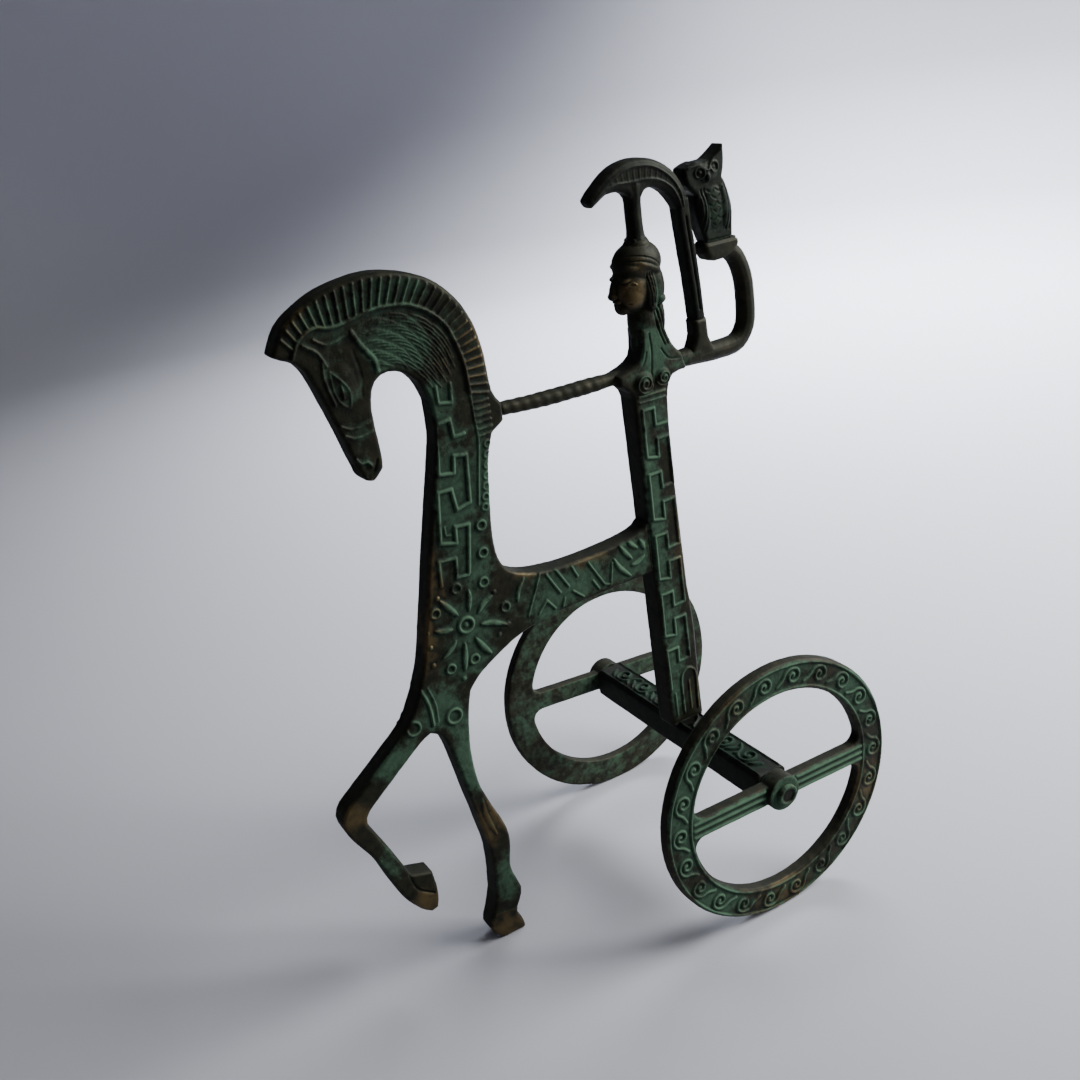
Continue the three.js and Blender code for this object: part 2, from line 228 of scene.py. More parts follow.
@dataclass(frozen=True)
class Patch:
    """A soft round area of a casting where the surface has aged in one way."""

    x: float
    z: float
    reach_x: float
    reach_z: float
    strength: float = 1.0


def patches(*rows: tuple[float, ...]) -> tuple[Patch, ...]:
    """Makes patches of rows of x, z, reach in x, reach in z and strength."""
    return tuple(Patch(*row) for row in rows)


def cover(areas: Sequence[Patch], u: np.ndarray, v: np.ndarray) -> np.ndarray:
    """How strongly patches cover each drawn place (u, v): the strongest one counts."""
    total = np.zeros_like(u)
    for patch in areas:
        off = ((u - patch.x) / patch.reach_x) ** 2 + ((v - patch.z) / patch.reach_z) ** 2
        total = np.maximum(total, patch.strength * np.exp(-off))
    return total


# ---------------------------------------------------------------- finishes
def linear(colour: str) -> tuple[float, float, float, float]:
    """Turns an sRGB hex colour into the linear RGBA that a socket takes."""
    parts = [int(colour[i:i + 2], 16) / 255 for i in (1, 3, 5)]
    r, g, b = (c / 12.92 if c <= 0.04045 else ((c + 0.055) / 1.055) ** 2.4 for c in parts)
    return r, g, b, 1.0


def add_node(tree: bpy.types.NodeTree, kind: str, settings: dict | None = None,
             links: dict | None = None) -> bpy.types.Node:
    """Adds a node to a tree.

    Args:
        tree: the node tree.
        kind: the node's type name without the ShaderNode in front.
        settings: node properties by name, and input values by socket name or number.
        links: the output that feeds each input, by socket name or number.
    Returns:
        The new node.
    """
    node = tree.nodes.new(f"ShaderNode{kind}")
    for key, value in (settings or {}).items():
        if isinstance(key, str) and hasattr(node, key):
            setattr(node, key, value)
        else:
            node.inputs[key].default_value = value
    for key, output in (links or {}).items():
        tree.links.new(output, node.inputs[key])
    return node


class Mark(Enum):
    """What each vertex of a casting says about its surface."""

    # the raised mark also paints a highlight on the tops of the lines
    RAISED = "raised"            # top of an ornament line
    HOLLOW = "hollow"            # depth in a corner or groove
    CREST = "crest"              # how far an edge stands out
    GREEN = "verdigris"
    RUBBED = "rubbed"
    EDGE = "plate_edge"          # narrow side of a plate


def write_marks(mesh: Mesh, marks: dict[Mark, np.ndarray]) -> None:
    """Writes every mark, one value per vertex; one that isn't given is zero."""
    for mark in Mark:
        layer = mesh.attributes.get(mark.value) or mesh.attributes.new(mark.value, "FLOAT", "POINT")
        values = marks.get(mark, np.zeros(len(mesh.vertices)))
        layer.data.foreach_set("value", values.astype(np.float32))


@dataclass(frozen=True)
class AgedBronze:
    """Sand-cast bronze under a chemical patina: a dark brown-black skin, matt pale green
    verdigris that lies on the ornament and in the corners, and warm metal where hands
    and cloths have rubbed it through. The skin is half metal and half mineral, so its
    gloss is broken and soft. It also paints a highlight on the tops of the lines, and
    shade in the corners and on the narrow sides of the plates."""

    name: str
    dark: str = "#191b15"
    brown: str = "#2b291d"
    bare: str = "#53462d"
    deep_green: str = "#213429"
    pale_green: str = "#516d57"
    # colour of the painted shade in corners, grooves and on the narrow sides of the plates
    painted_shade: str = "#0f1611"
    green_share: float = 0.0      # more or less verdigris over the whole piece
    rubbed_share: float = 0.0
    roughness: float = 0.46
    grain_mm: float = 0.5         # sand of the mould
    blotch_mm: float = 2.2
    bloom_mm: float = 9.0

    def build(self) -> bpy.types.Material:
        """Builds the node material, or finds it when it is built already, and returns it."""
        if self.name in bpy.data.materials:
            return bpy.data.materials[self.name]
        material = bpy.data.materials.new(self.name)
        material.use_nodes = True
        tree = material.node_tree
        tree.nodes.clear()
        place = add_node(tree, "TexCoord").outputs["Object"]
        out = {mark: add_node(tree, "Attribute", {"attribute_name": mark.value}).outputs["Fac"]
               for mark in Mark}
        for name, size, detail in (("bloom", self.bloom_mm, 4.0), ("blotch", self.blotch_mm, 5.0),
                                   ("grain", self.grain_mm, 3.0), ("speck", self.grain_mm * 2.6, 6.0)):
            out[name] = add_node(tree, "TexNoise",
                                 {"Scale": 1 / (size * MM), "Detail": detail, "Roughness": 0.6},
                                 {"Vector": place}).outputs["Fac"]

        # Each is a weighted sum of marks and patterns over a base, spread out by a ramp.
        sums = (
            # Verdigris: where it was noted on the piece, broken up by blooms and blotches.
            ("green", self.green_share - 0.75,
             {Mark.GREEN: 0.62, Mark.RAISED: 0.20, Mark.HOLLOW: 0.30, Mark.EDGE: -0.30,
              "bloom": 0.62, "blotch": 0.75, "speck": 0.35},
             {"interpolation_type": "SMOOTHSTEP", "From Min": 0.30, "From Max": 0.62}),
            # Rubbed metal: on standing edges and where it was noted, and never deep in a corner.
            ("rubbed", self.rubbed_share - 0.42,
             {Mark.RUBBED: 0.72, Mark.CREST: 0.22, Mark.HOLLOW: -0.5, Mark.EDGE: -0.2,
              "blotch": 0.55, "bloom": 0.28},
             {"interpolation_type": "SMOOTHSTEP", "From Min": 0.2, "From Max": 0.7}),
            # How pale the verdigris is: its own specks and thickness, a painted highlight on the tops of the
            # lines and a little painted shade in the hollows.
            ("pale", -0.33, {Mark.RAISED: 0.42, Mark.GREEN: 0.22, "speck": 0.9, Mark.HOLLOW: -0.1}, {}),
            ("mottled", 0.0, {"blotch": 1.0}, {"From Min": 0.35, "From Max": 0.68}),
            # Painted shade darkens corners, grooves and the narrow sides of the plates.
            ("painted_shade", 0.0, {Mark.HOLLOW: 1.0, Mark.EDGE: 0.8},
             {"From Min": 0.1, "From Max": 1.3, "To Max": 0.8}),
        )
        for name, base, shares, ramp in sums:
            links = {}
            for source, share in shares.items():
                links[0] = out[source]
                term = add_node(tree, "Math", {"operation": "MULTIPLY_ADD", 1: share, 2: base}, links)
                links[2] = term.outputs[0]
            out[name] = add_node(tree, "MapRange", ramp, {"Value": links[2]}).outputs[0]

        # Colours laid one over the other, by how much each one covers.
        for name, cover_by, under, over in (
                ("skin", "mottled", self.dark, self.brown), ("skin", "rubbed", "skin", self.bare),
                ("mineral", "pale", self.deep_green, self.pale_green),
                # last, the painted shade darkens corners, grooves and the narrow plate sides
                ("colour", "green", "skin", "mineral"), ("colour", "painted_shade", "colour", self.painted_shade)):
            coats = {6: under, 7: over}
            out[name] = add_node(
                tree, "Mix",
                {"data_type": "RGBA", **{k: linear(c) for k, c in coats.items() if c not in out}},
                {0: out[cover_by], **{k: out[c] for k, c in coats.items() if c in out}}).outputs[2]

        # The mineral is no metal and is rougher than the skin; rubbed metal is smoothest.
        for name, start, end in (("metal", 0.5, 0.03), ("rough", self.roughness, 0.82)):
            out[name] = add_node(tree, "MapRange", {"To Min": start, "To Max": end},
                                 {"Value": out["green"]}).outputs[0]
        # The narrow plate sides, painted dark as shade, are also less metallic and rougher.
        for name, source, share, start, clamp in (
                ("metal", Mark.EDGE, -0.45, "metal", True), ("rough", "rubbed", -0.07, "rough", False),
                ("rough", "speck", 0.16, "rough", False), ("rough", Mark.EDGE, 0.3, "rough", False),
                ("relief", "blotch", 0.55, "grain", False), ("relief", "green", 0.5, "relief", False)):
            out[name] = add_node(tree, "Math",
                                 {"operation": "MULTIPLY_ADD", "use_clamp": clamp, 1: share},
                                 {0: out[source], 2: out[start]}).outputs[0]
        bump = add_node(tree, "Bump", {"Strength": 0.55, "Distance": 0.12 * MM},
                        {"Height": out["relief"]}).outputs["Normal"]
        shader = add_node(tree, "BsdfPrincipled", {"Specular IOR Level": 0.2},
                          {"Base Color": out["colour"], "Metallic": out["metal"],
                           "Roughness": out["rough"], "Normal": bump})
        add_node(tree, "OutputMaterial", {}, {"Surface": shader.outputs[0]})
        return material


# ---------------------------------------------------------------- hand work shared by the castings
def only(piece: Piece) -> None:
    """Makes one object the only selected and the active one."""
    bpy.ops.object.select_all(action="DESELECT")
    piece.select_set(True)
    bpy.context.view_layer.objects.active = piece


@contextmanager
def editing(piece: Piece, select: str | None = "SELECT") -> Iterator[None]:
    """Edit mode on one piece.

    Args:
        piece: the object.
        select: the action that selects its mesh first, or None to leave that as it is.
    """
    only(piece)
    bpy.ops.object.mode_set(mode="EDIT")
    if select:
        bpy.ops.mesh.select_all(action=select)
    yield
    bpy.ops.object.mode_set(mode="OBJECT")


def pick_faces(piece: Piece, wanted: Callable[[bpy.types.MeshPolygon], bool]) -> None:
    """Selects only the faces of a piece that are wanted."""
    with editing(piece, "DESELECT"):
        pass
    for polygon in piece.data.polygons:
        polygon.select = wanted(polygon)


def apply_modifier(piece: Piece, kind: str, **settings: object) -> None:
    """Adds a modifier with these settings to a piece and applies it."""
    modifier = piece.modifiers.new(kind.title(), kind)
    for key, value in settings.items():
        setattr(modifier, key, value)
    only(piece)
    bpy.ops.object.modifier_apply(modifier=modifier.name)


def triangle_count(mesh: Mesh) -> int:
    """How many triangles the mesh makes."""
    return sum(len(polygon.vertices) - 2 for polygon in mesh.polygons)


def read_rows(items: bpy.types.bpy_prop_collection, what: str) -> np.ndarray:
    """Reads one vector of every item, one row each."""
    flat = np.empty(len(items) * 3, np.float32)
    items.foreach_get(what, flat)
    return flat.reshape(-1, 3).astype(float)


def vertex_places(mesh: Mesh) -> np.ndarray:
    """Vertex places of a mesh, one row each."""
    return read_rows(mesh.vertices, "co")


def vertex_normals(mesh: Mesh) -> np.ndarray:
    """Vertex normals of a mesh, one row each."""
    return read_rows(mesh.vertex_normals, "vector")


def roughen(piece: Piece, name: str, lump_mm: float, strength_mm: float) -> None:
    """Makes a skin uneven with lumps of one width and height."""
    clouds = bpy.data.textures.new(name, "CLOUDS")
    clouds.noise_scale = lump_mm * MM
    apply_modifier(piece, "DISPLACE", texture=clouds, texture_coords="LOCAL",
                   strength=strength_mm * MM, mid_level=0.5)


def set_places(mesh: Mesh, places: np.ndarray) -> None:
    """Moves a mesh's vertices to new places."""
    mesh.vertices.foreach_set("co", places.astype(np.float32).ravel())
    mesh.update()


def standing_out(mesh: Mesh, rounds: int) -> np.ndarray:
    """How far each vertex stands out from its own neighbourhood.

    Args:
        mesh: the mesh.
        rounds: how many times the neighbourhood is averaged; more reaches wider.
    Returns:
        Millimetres, positive on ridges and negative in hollows.
    """
    places, count = vertex_places(mesh), len(mesh.vertices)
    pairs = np.empty(len(mesh.edges) * 2, np.int32)
    mesh.edges.foreach_get("vertices", pairs)
    a, b = pairs[0::2], pairs[1::2]
    degree = np.maximum(np.bincount(pairs, minlength=count), 1)[:, None]
    calm = places.copy()
    for _ in range(rounds):
        total = np.stack([np.bincount(a, calm[b, k], count) + np.bincount(b, calm[a, k], count)
                          for k in range(3)], 1)
        calm = 0.4 * calm + 0.6 * total / degree
    return ((places - calm) * vertex_normals(mesh)).sum(1) / MM


def give_finish(piece: Piece, finish: AgedBronze) -> None:
    """Gives a piece one finish all over and smooth shading, and logs it."""
    piece.data.materials.clear()
    piece.data.materials.append(finish.build())
    only(piece)
    bpy.ops.object.shade_smooth()
    LOG.info("%s: %d triangles", piece.name, triangle_count(piece.data))


def mirrored_copy(piece: Piece, name: str, change: Matrix) -> Piece:
    """Copies a piece, with a mesh of its own, for the other side.

    Args:
        piece: the piece.
        name: the copy's name.
        change: the mirroring that its mesh goes through.
    Returns:
        The copy, with its faces turned outwards again.
    """
    twin = bpy.data.objects.new(name, piece.data.copy())
    bpy.context.scene.collection.objects.link(twin)
    twin.data.transform(change)
    with editing(twin):
        bpy.ops.mesh.normals_make_consistent(inside=False)
    return twin


@dataclass
class Mass:
    """A rounded lump of metal that is modelled onto a casting; one off the middle plane
    has a twin on the other side."""

    x: float
    y: float
    z: float
    size: tuple[float, float, float]        # half sizes
    lean: float = 0.0                       # degrees about Y, positive tips the top forward

    def add(self) -> list[Piece]:
        """Adds the lump, and its twin, and returns them."""
        added = []
        for y in {self.y, -self.y}:
            bpy.ops.object.select_all(action="DESELECT")
            bpy.ops.mesh.primitive_uv_sphere_add(
                segments=36, ring_count=20, radius=MM,
                location=(AXLE_X + self.x * MM, y * MM, self.z * MM),
                rotation=(0, math.radians(self.lean), 0), scale=self.size)
            added.append(bpy.context.object)
        return added


@dataclass
class Casting:
    """One bronze casting that stands for one CAD node."""

    name: str
    node: str
    body: str
    slot: str
    finish: AgedBronze
    skin_mm: float = 0.22               # spacing of the modelled skin
    most_triangles: int = 150_000
    wobble_mm: float = 0.2              # unevenness of the hand-finished pattern
    swell_mm: float = 0.12              # what softening the edges took off, put back on
    green: tuple[Patch, ...] = ()
    rubbed: tuple[Patch, ...] = ()
    faces: tuple[CastFace, ...] = (LEFT_FACE, RIGHT_FACE)
    plate: bool = True

    def ridges(self) -> list[Ridge]:
        """The ornament of the faces; a plain casting has none."""
        return []

    def masses(self) -> list[Mass]:
        """Lumps that are modelled onto the casting; most have none."""
        return []

    def trim(self, piece: Piece) -> None:
        """Cuts away what the lumps take the place of; most castings are left whole."""

    def carve(self, piece: Piece) -> None:
        """Shapes the skin before the ornament is raised; most castings need nothing."""

    def start(self) -> Piece:
        """Takes a merged copy of the CAD node's mesh as the blank, and returns it."""
        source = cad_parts[self.node]
        piece = bpy.data.objects.new(self.name, source.data.copy())
        bpy.context.scene.collection.objects.link(piece)
        piece.data.materials.clear()
        with editing(piece):
            bpy.ops.mesh.remove_doubles(threshold=SAME_PLACE)
        self.trim(piece)
        lumps = [lump for mass in self.masses() for lump in mass.add()]
        if lumps:
            only(piece)
            for lump in lumps:
                lump.select_set(True)
            bpy.ops.object.join()
        return piece

    def fuse(self, piece: Piece) -> None:
        """Makes one continuous skin of the blank and its lumps, softened as by the mould."""
        apply_modifier(piece, "REMESH", mode="VOXEL", voxel_size=self.skin_mm * MM * COARSE)
        apply_modifier(piece, "SMOOTH", factor=0.5, iterations=4)
        apply_modifier(piece, "DISPLACE", strength=self.swell_mm * MM, mid_level=0.0)
        for lump_mm, share in ((5.0, 1.0), (1.2, 0.22)):
            roughen(piece, f"{self.name}_wobble", lump_mm, self.wobble_mm * share)
        self.carve(piece)

    def raise_ornament(self, piece: Piece) -> None:
        """Raises and cuts the lines of the ornament on the faces that carry it."""
        ornament = Ornament(self.ridges())
        places, normals = vertex_places(piece.data), vertex_normals(piece.data)
        for face in self.faces if ornament.ridges else ():
            facing = np.clip((normals[:, face.out] * face.side - FACING_FROM) / FACING_OVER, 0, 1)
            facing = facing * facing * (3 - 2 * facing)
            places[:, face.out] += face.side * facing * ornament.height_at(*face.drawn(places)) * MM
        set_places(piece.data, places)
        apply_modifier(piece, "SMOOTH", factor=0.4, iterations=1)

    def thin(self, piece: Piece) -> None:
        """Drops triangles where the skin is flat, down to the most that the piece may have."""
        apply_modifier(piece, "DECIMATE", ratio=min(1.0, self.most_triangles / triangle_count(piece.data)))

    def age(self, piece: Piece) -> None:
        """Writes where the surface is raised, hollow, green or rubbed as vertex marks."""
        mesh = piece.data
        places, normals = vertex_places(mesh), vertex_normals(mesh)
        fine, wide = standing_out(mesh, NEAR), standing_out(mesh, FAR)
        ornament = Ornament(self.ridges())
        raised = np.zeros(len(places))
        for face in self.faces if ornament.ridges else ():
            height = ornament.height_at(*face.drawn(places)) / FULL_HEIGHT
            raised = np.maximum(raised, height * (normals[:, face.out] * face.side > TOP_FACING))
        u, v = self.faces[0].drawn(places)
        across = np.abs(normals[:, self.faces[0].out])
        # the narrow sides of a plate, which the material paints dark as shade
        edge = np.clip(1 - across / NARROW_SIDE, 0, 1) if self.plate else 0 * u
        write_marks(mesh, {
            Mark.RAISED: np.clip(raised, 0, 1),
            # the hollow mark feeds the verdigris, and the painted shade in corners and grooves
            Mark.HOLLOW: 0.7 * np.clip(-fine / GROOVE_MM, 0, 1) + 0.3 * np.clip(-wide / FOLD_MM, 0, 1),
            Mark.CREST: np.clip(fine / EDGE_MM, 0, 1),
            Mark.GREEN: cover(self.green, u, v),
            Mark.RUBBED: cover(self.rubbed, u, v),
            Mark.EDGE: edge,
        })

    def dress(self, piece: Piece) -> None:
        """Gives the piece its finish and hangs it on its CAD body."""
        give_finish(piece, self.finish)
        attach(piece, self.body)
        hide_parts(self.node)

    def build(self) -> Piece:
        """Models, ornaments, ages and dresses the casting, and returns it."""
        piece = self.start()
        self.fuse(piece)
        self.raise_ornament(piece)
        self.thin(piece)
        self.age(piece)
        self.dress(piece)
        return piece


# ---------------------------------------------------------------- horse
@dataclass
class Horse(Casting):
    """The flat horse: mane of radiating ribs, combed neck, key pattern down the neck,
    rosette on the chest and loose leaves along the barrel."""

    rib_count: int = 32
    hair_rows: int = 14
    muzzle: Point = (71.3, 127.2)
    muzzle_radius: float = 2.95

    def mane(self) -> list[Ridge]:
        """Ribs from the crest line out to the edge of the mane, and the rungs below them."""
        border = smooth_path([(82.8, 152.4), (80.8, 155.6), (77.6, 157.2), (74.2, 156.5), (70, 157),
                              (65, 158), (60, 157.7), (57, 157), (53, 154.5), (50, 151), (48.2, 146),
                              (47.4, 142), (47.2, 136.4)])
        edge = smooth_path([(85.4, 154.9), (83.2, 157.4), (79.1, 160.5), (73, 162.6), (66, 163.6),
                            (58.3, 162.6), (52.2, 159.8), (47.4, 154.8), (44.7, 149.1), (43.4, 143.6),
                            (43.1, 139), (42.9, 135.4)])
        shares = np.linspace(0.03, 1, self.rib_count)
        ribs = [Ridge((a, b), 0.8, 0.4) for a, b in zip(along(border, shares), along(edge, shares))]
        rungs = [Ridge(((43.3, z), (46.6, z)), 0.8, 0.34) for z in np.arange(134, 126.5, -1.45)]
        tail = ((47.2, 136.4), (47.1, 131), (46.9, 126), (48.2, 118), (49.2, 112))
        chain = [ring(x, z, 0.75, 0.55, 0.3) for x, z in along(
            [(45, 124.6), (46.3, 117.5), (47.8, 111)], np.linspace(0, 1, 7))]
        return [Ridge(border, 1.05, 0.55), curve(0.7, 0.3, *tail), *ribs, *rungs, *chain]

    def neck_hair(self) -> list[Ridge]:
        """Short combed strokes raised between the crest line and the throat."""
        upper = smooth_path([(69, 155.6), (65, 156.8), (60, 156.4), (56, 155), (52.6, 152.4), (50, 148.4),
                             (48.8, 143.6)])
        lower = smooth_path([(67.6, 147.6), (64.6, 146.6), (61.2, 146), (58.6, 144), (57, 142), (55.6, 140),
                             (54.4, 139)])
        strokes = []
        marks = np.linspace(0, 1, 15)
        top, low = np.array(along(upper, marks)), np.array(along(lower, marks))
        for row in range(self.hair_rows):
            share = (row + 0.5) / self.hair_rows
            line = top * (1 - share) + low * share
            for i in range(row % 3, len(marks) - 3, 3):
                a, b, c, d = line[i:i + 4]
                strokes.append(Ridge((tuple(a), tuple(b), tuple(c - [0.1, 0.2]), tuple(d - [0.2, 0.7])),
                                     0.5, 0.24, leaf=True))
        return strokes

    def masses(self) -> list[Mass]:
        """The blunt muzzle and the fuller cheek."""
        x, z = self.muzzle
        return [Mass(x, 0, z, (self.muzzle_radius, 2.8, self.muzzle_radius)),
                Mass(73.4, 1.0, 145.5, (4.4, 1.95, 7.5), 8)]

    def carve(self, piece: Piece) -> None:
        """Rounds off the corners of the flat blank at the end of the muzzle."""
        places = vertex_places(piece.data)
        x, z = (places[:, 0] - AXLE_X) / MM - self.muzzle[0], places[:, 2] / MM - self.muzzle[1]
        reach, radius = np.hypot(x, z), self.muzzle_radius
        corner = (z < 0) & (z > -2 * radius) & (reach > radius) & (reach < 2 * radius)
        shrink = np.where(corner, radius / np.maximum(reach, radius), 1.0)
        places[:, 0] = AXLE_X + (self.muzzle[0] + x * shrink) * MM
        places[:, 2] = (self.muzzle[1] + z * shrink) * MM
        set_places(piece.data, places)

    def head(self) -> list[Ridge]:
        """Cheek strap, eye, bands over the muzzle, nostril and mouth."""
        return [
            curve(1.5, 0.42, (70.2, 154.6), (68.4, 151.2), (66.6, 148.6), (66.2, 146)),
            curve(0.9, 0.35, (80.4, 154.4), (77.8, 152.4), (76.4, 149.4)),
            curve(0.8, 0.3, (78, 155), (75.4, 153.4), (71, 154.6)),
            curve(0.6, 0.22, (76, 148.2), (74.9, 146.9), (72.9, 143.8), (73.2, 140.4), (75, 141.6),
                  (76, 144.6), (76, 148.2)),
            Ridge(((74.3, 145), (74.2, 142)), 0.9, 0.28, leaf=True),
            curve(0.8, 0.3, (77, 151), (77.3, 146.8), (76.2, 141.6)),
            curve(0.9, -0.12, (70.6, 151), (69.8, 146), (70.4, 141.8)),
            curve(0.75, 0.27, (76, 137), (73.5, 135.8), (69.9, 136.4)),
            curve(0.75, 0.27, (75.6, 135), (73.2, 133.9), (69.6, 134.5)),
            curve(0.8, 0.42, (74.2, 129.6), (73.4, 128.6), (72, 128.6), (71.2, 127.4)),
            curve(0.6, -0.35, (72.4, 125.4), (70.8, 126.4), (69.8, 128.4)),
        ]

    def key_pattern(self) -> list[Ridge]:
        """The squared key that runs down the neck."""
        return [
            Ridge(((50, 128.4), (52.5, 128.3), (52.8, 132.2), (56, 131.8), (57.3, 121.2), (53.8, 120.6),
                   (53.2, 124.3), (50.3, 123.8), (51.2, 113.3), (54.5, 112.5), (55, 117.3), (58.2, 117.5),
                   (59.6, 106.2), (55.9, 105.2), (55.6, 108.9), (52.3, 108.5), (54.1, 97.6)), 1.25, 0.46),
            Ridge(((61, 96.8), (60.7, 102.4), (56.6, 101.9), (57.2, 97.4), (54.4, 97.2)), 1.15, 0.42),
            Ridge(((54.6, 139.6), (54.6, 136.1), (51.6, 135.5), (51.3, 139.4)), 1.1, 0.4),
            Ridge(((58, 109.6), (58, 107.6), (57, 107.4)), 0.7, 0.25),
        ]

    def rosette(self) -> list[Ridge]:
        """The flower on the chest with its loose rings and dots."""
        petals = [((58.5, 88.8), (60.4, 91.4), (62.1, 93.6)), ((55.6, 88.9), (55.2, 91.2), (55, 93.6)),
                  ((53.5, 87.6), (51.8, 89.4), (49.6, 90.4)), ((53.3, 84.7), (50.4, 83.9), (47.2, 82.3)),
                  ((55.1, 81.8), (53.8, 79.4), (52, 76.8)), ((58, 81.6), (58.4, 78.4), (59, 75.2)),
                  ((60, 82.8), (61.8, 81.2), (63.8, 80.1)), ((60.3, 86), (62.2, 86.2), (64.3, 87.1))]
        rings = [(57.8, 95), (63.6, 91), (51.1, 94.2), (50.1, 101), (49.5, 107.3), (46.8, 86.5),
                 (62.3, 76.8), (56.3, 77)]
        dots = [(62.4, 94.2), (48.9, 90.9), (46.6, 82.1), (66.3, 87), (66, 83.5), (66.1, 79.2),
                (59.5, 73.3), (49.2, 80.4), (59.3, 89.6)]
        return [
            ring(56.9, 85.8, 1.75, 1.1, 0.5), ring(56.9, 85.8, 0.15, 1.0, 0.3),
            *(curve(1.9, 0.5, *petal, leaf=True) for petal in petals),
            *(ring(x, z, 1.05, 0.85, 0.42) for x, z in rings),
            *(dot(x, z, 1.4, 0.4) for x, z in dots),
        ]

    def leaves(self) -> list[Ridge]:
        """Zigzags and loose leaves along the barrel, and the rings over the legs."""
        fat = [((41.2, 91.6), (42.8, 89.6), (43.6, 86.6)), ((17.2, 88), (15.6, 85), (13, 82.2)),
               ((15.2, 90.6), (13.8, 88.4), (12.2, 86.4)), ((12.8, 91), (11.6, 89.6), (10.4, 88.6)),
               ((12.4, 84.8), (10.6, 85), (8.6, 86)), ((9.6, 90.4), (8.8, 89), (8.4, 87.6))]
        thin = [((37, 91.4), (41.4, 82)), ((35.4, 90.4), (32.4, 84.8)), ((32.9, 90.8), (30, 85.6)),
                ((28.6, 90), (27.4, 87.2)), ((24.1, 89.4), (20.4, 82.6), (18.7, 82), (17.7, 87.2)),
                ((38.6, 81.6), (36.2, 84.2), (34.2, 81.4)), ((31.4, 83), (32.2, 81.2)),
                ((29, 84), (26.4, 81.6)), ((23.4, 84.6), (22, 82))]
        return [
            *(curve(1.7, 0.42, *leaf, leaf=True) for leaf in fat),
            *(Ridge(stroke, 0.8, 0.34) for stroke in thin),
            ring(63.5, 65.2, 1.75, 1.0, 0.42), ring(73.5, 66.2, 1.6, 0.9, 0.4),
            curve(1.0, 0.42, (70.6, 75.4), (69, 70.6), (68.7, 65)),
            curve(0.6, 0.25, (68.6, 74.6), (67.4, 70), (67.4, 65.4)),
            curve(0.7, -0.3, (55.4, 6.4), (58.6, 7.6), (62.4, 8)),
            curve(0.9, -0.35, (81.4, 29.8), (80, 25.4), (76.4, 22.4)),
            curve(1.6, 0.25, (60.4, 41.6), (60, 36), (58.2, 30), leaf=True),
        ]

    def ridges(self) -> list[Ridge]:
        """Every line on the horse."""
        return [*self.mane(), *self.neck_hair(), *self.head(), *self.key_pattern(), *self.rosette(),
                *self.leaves()]


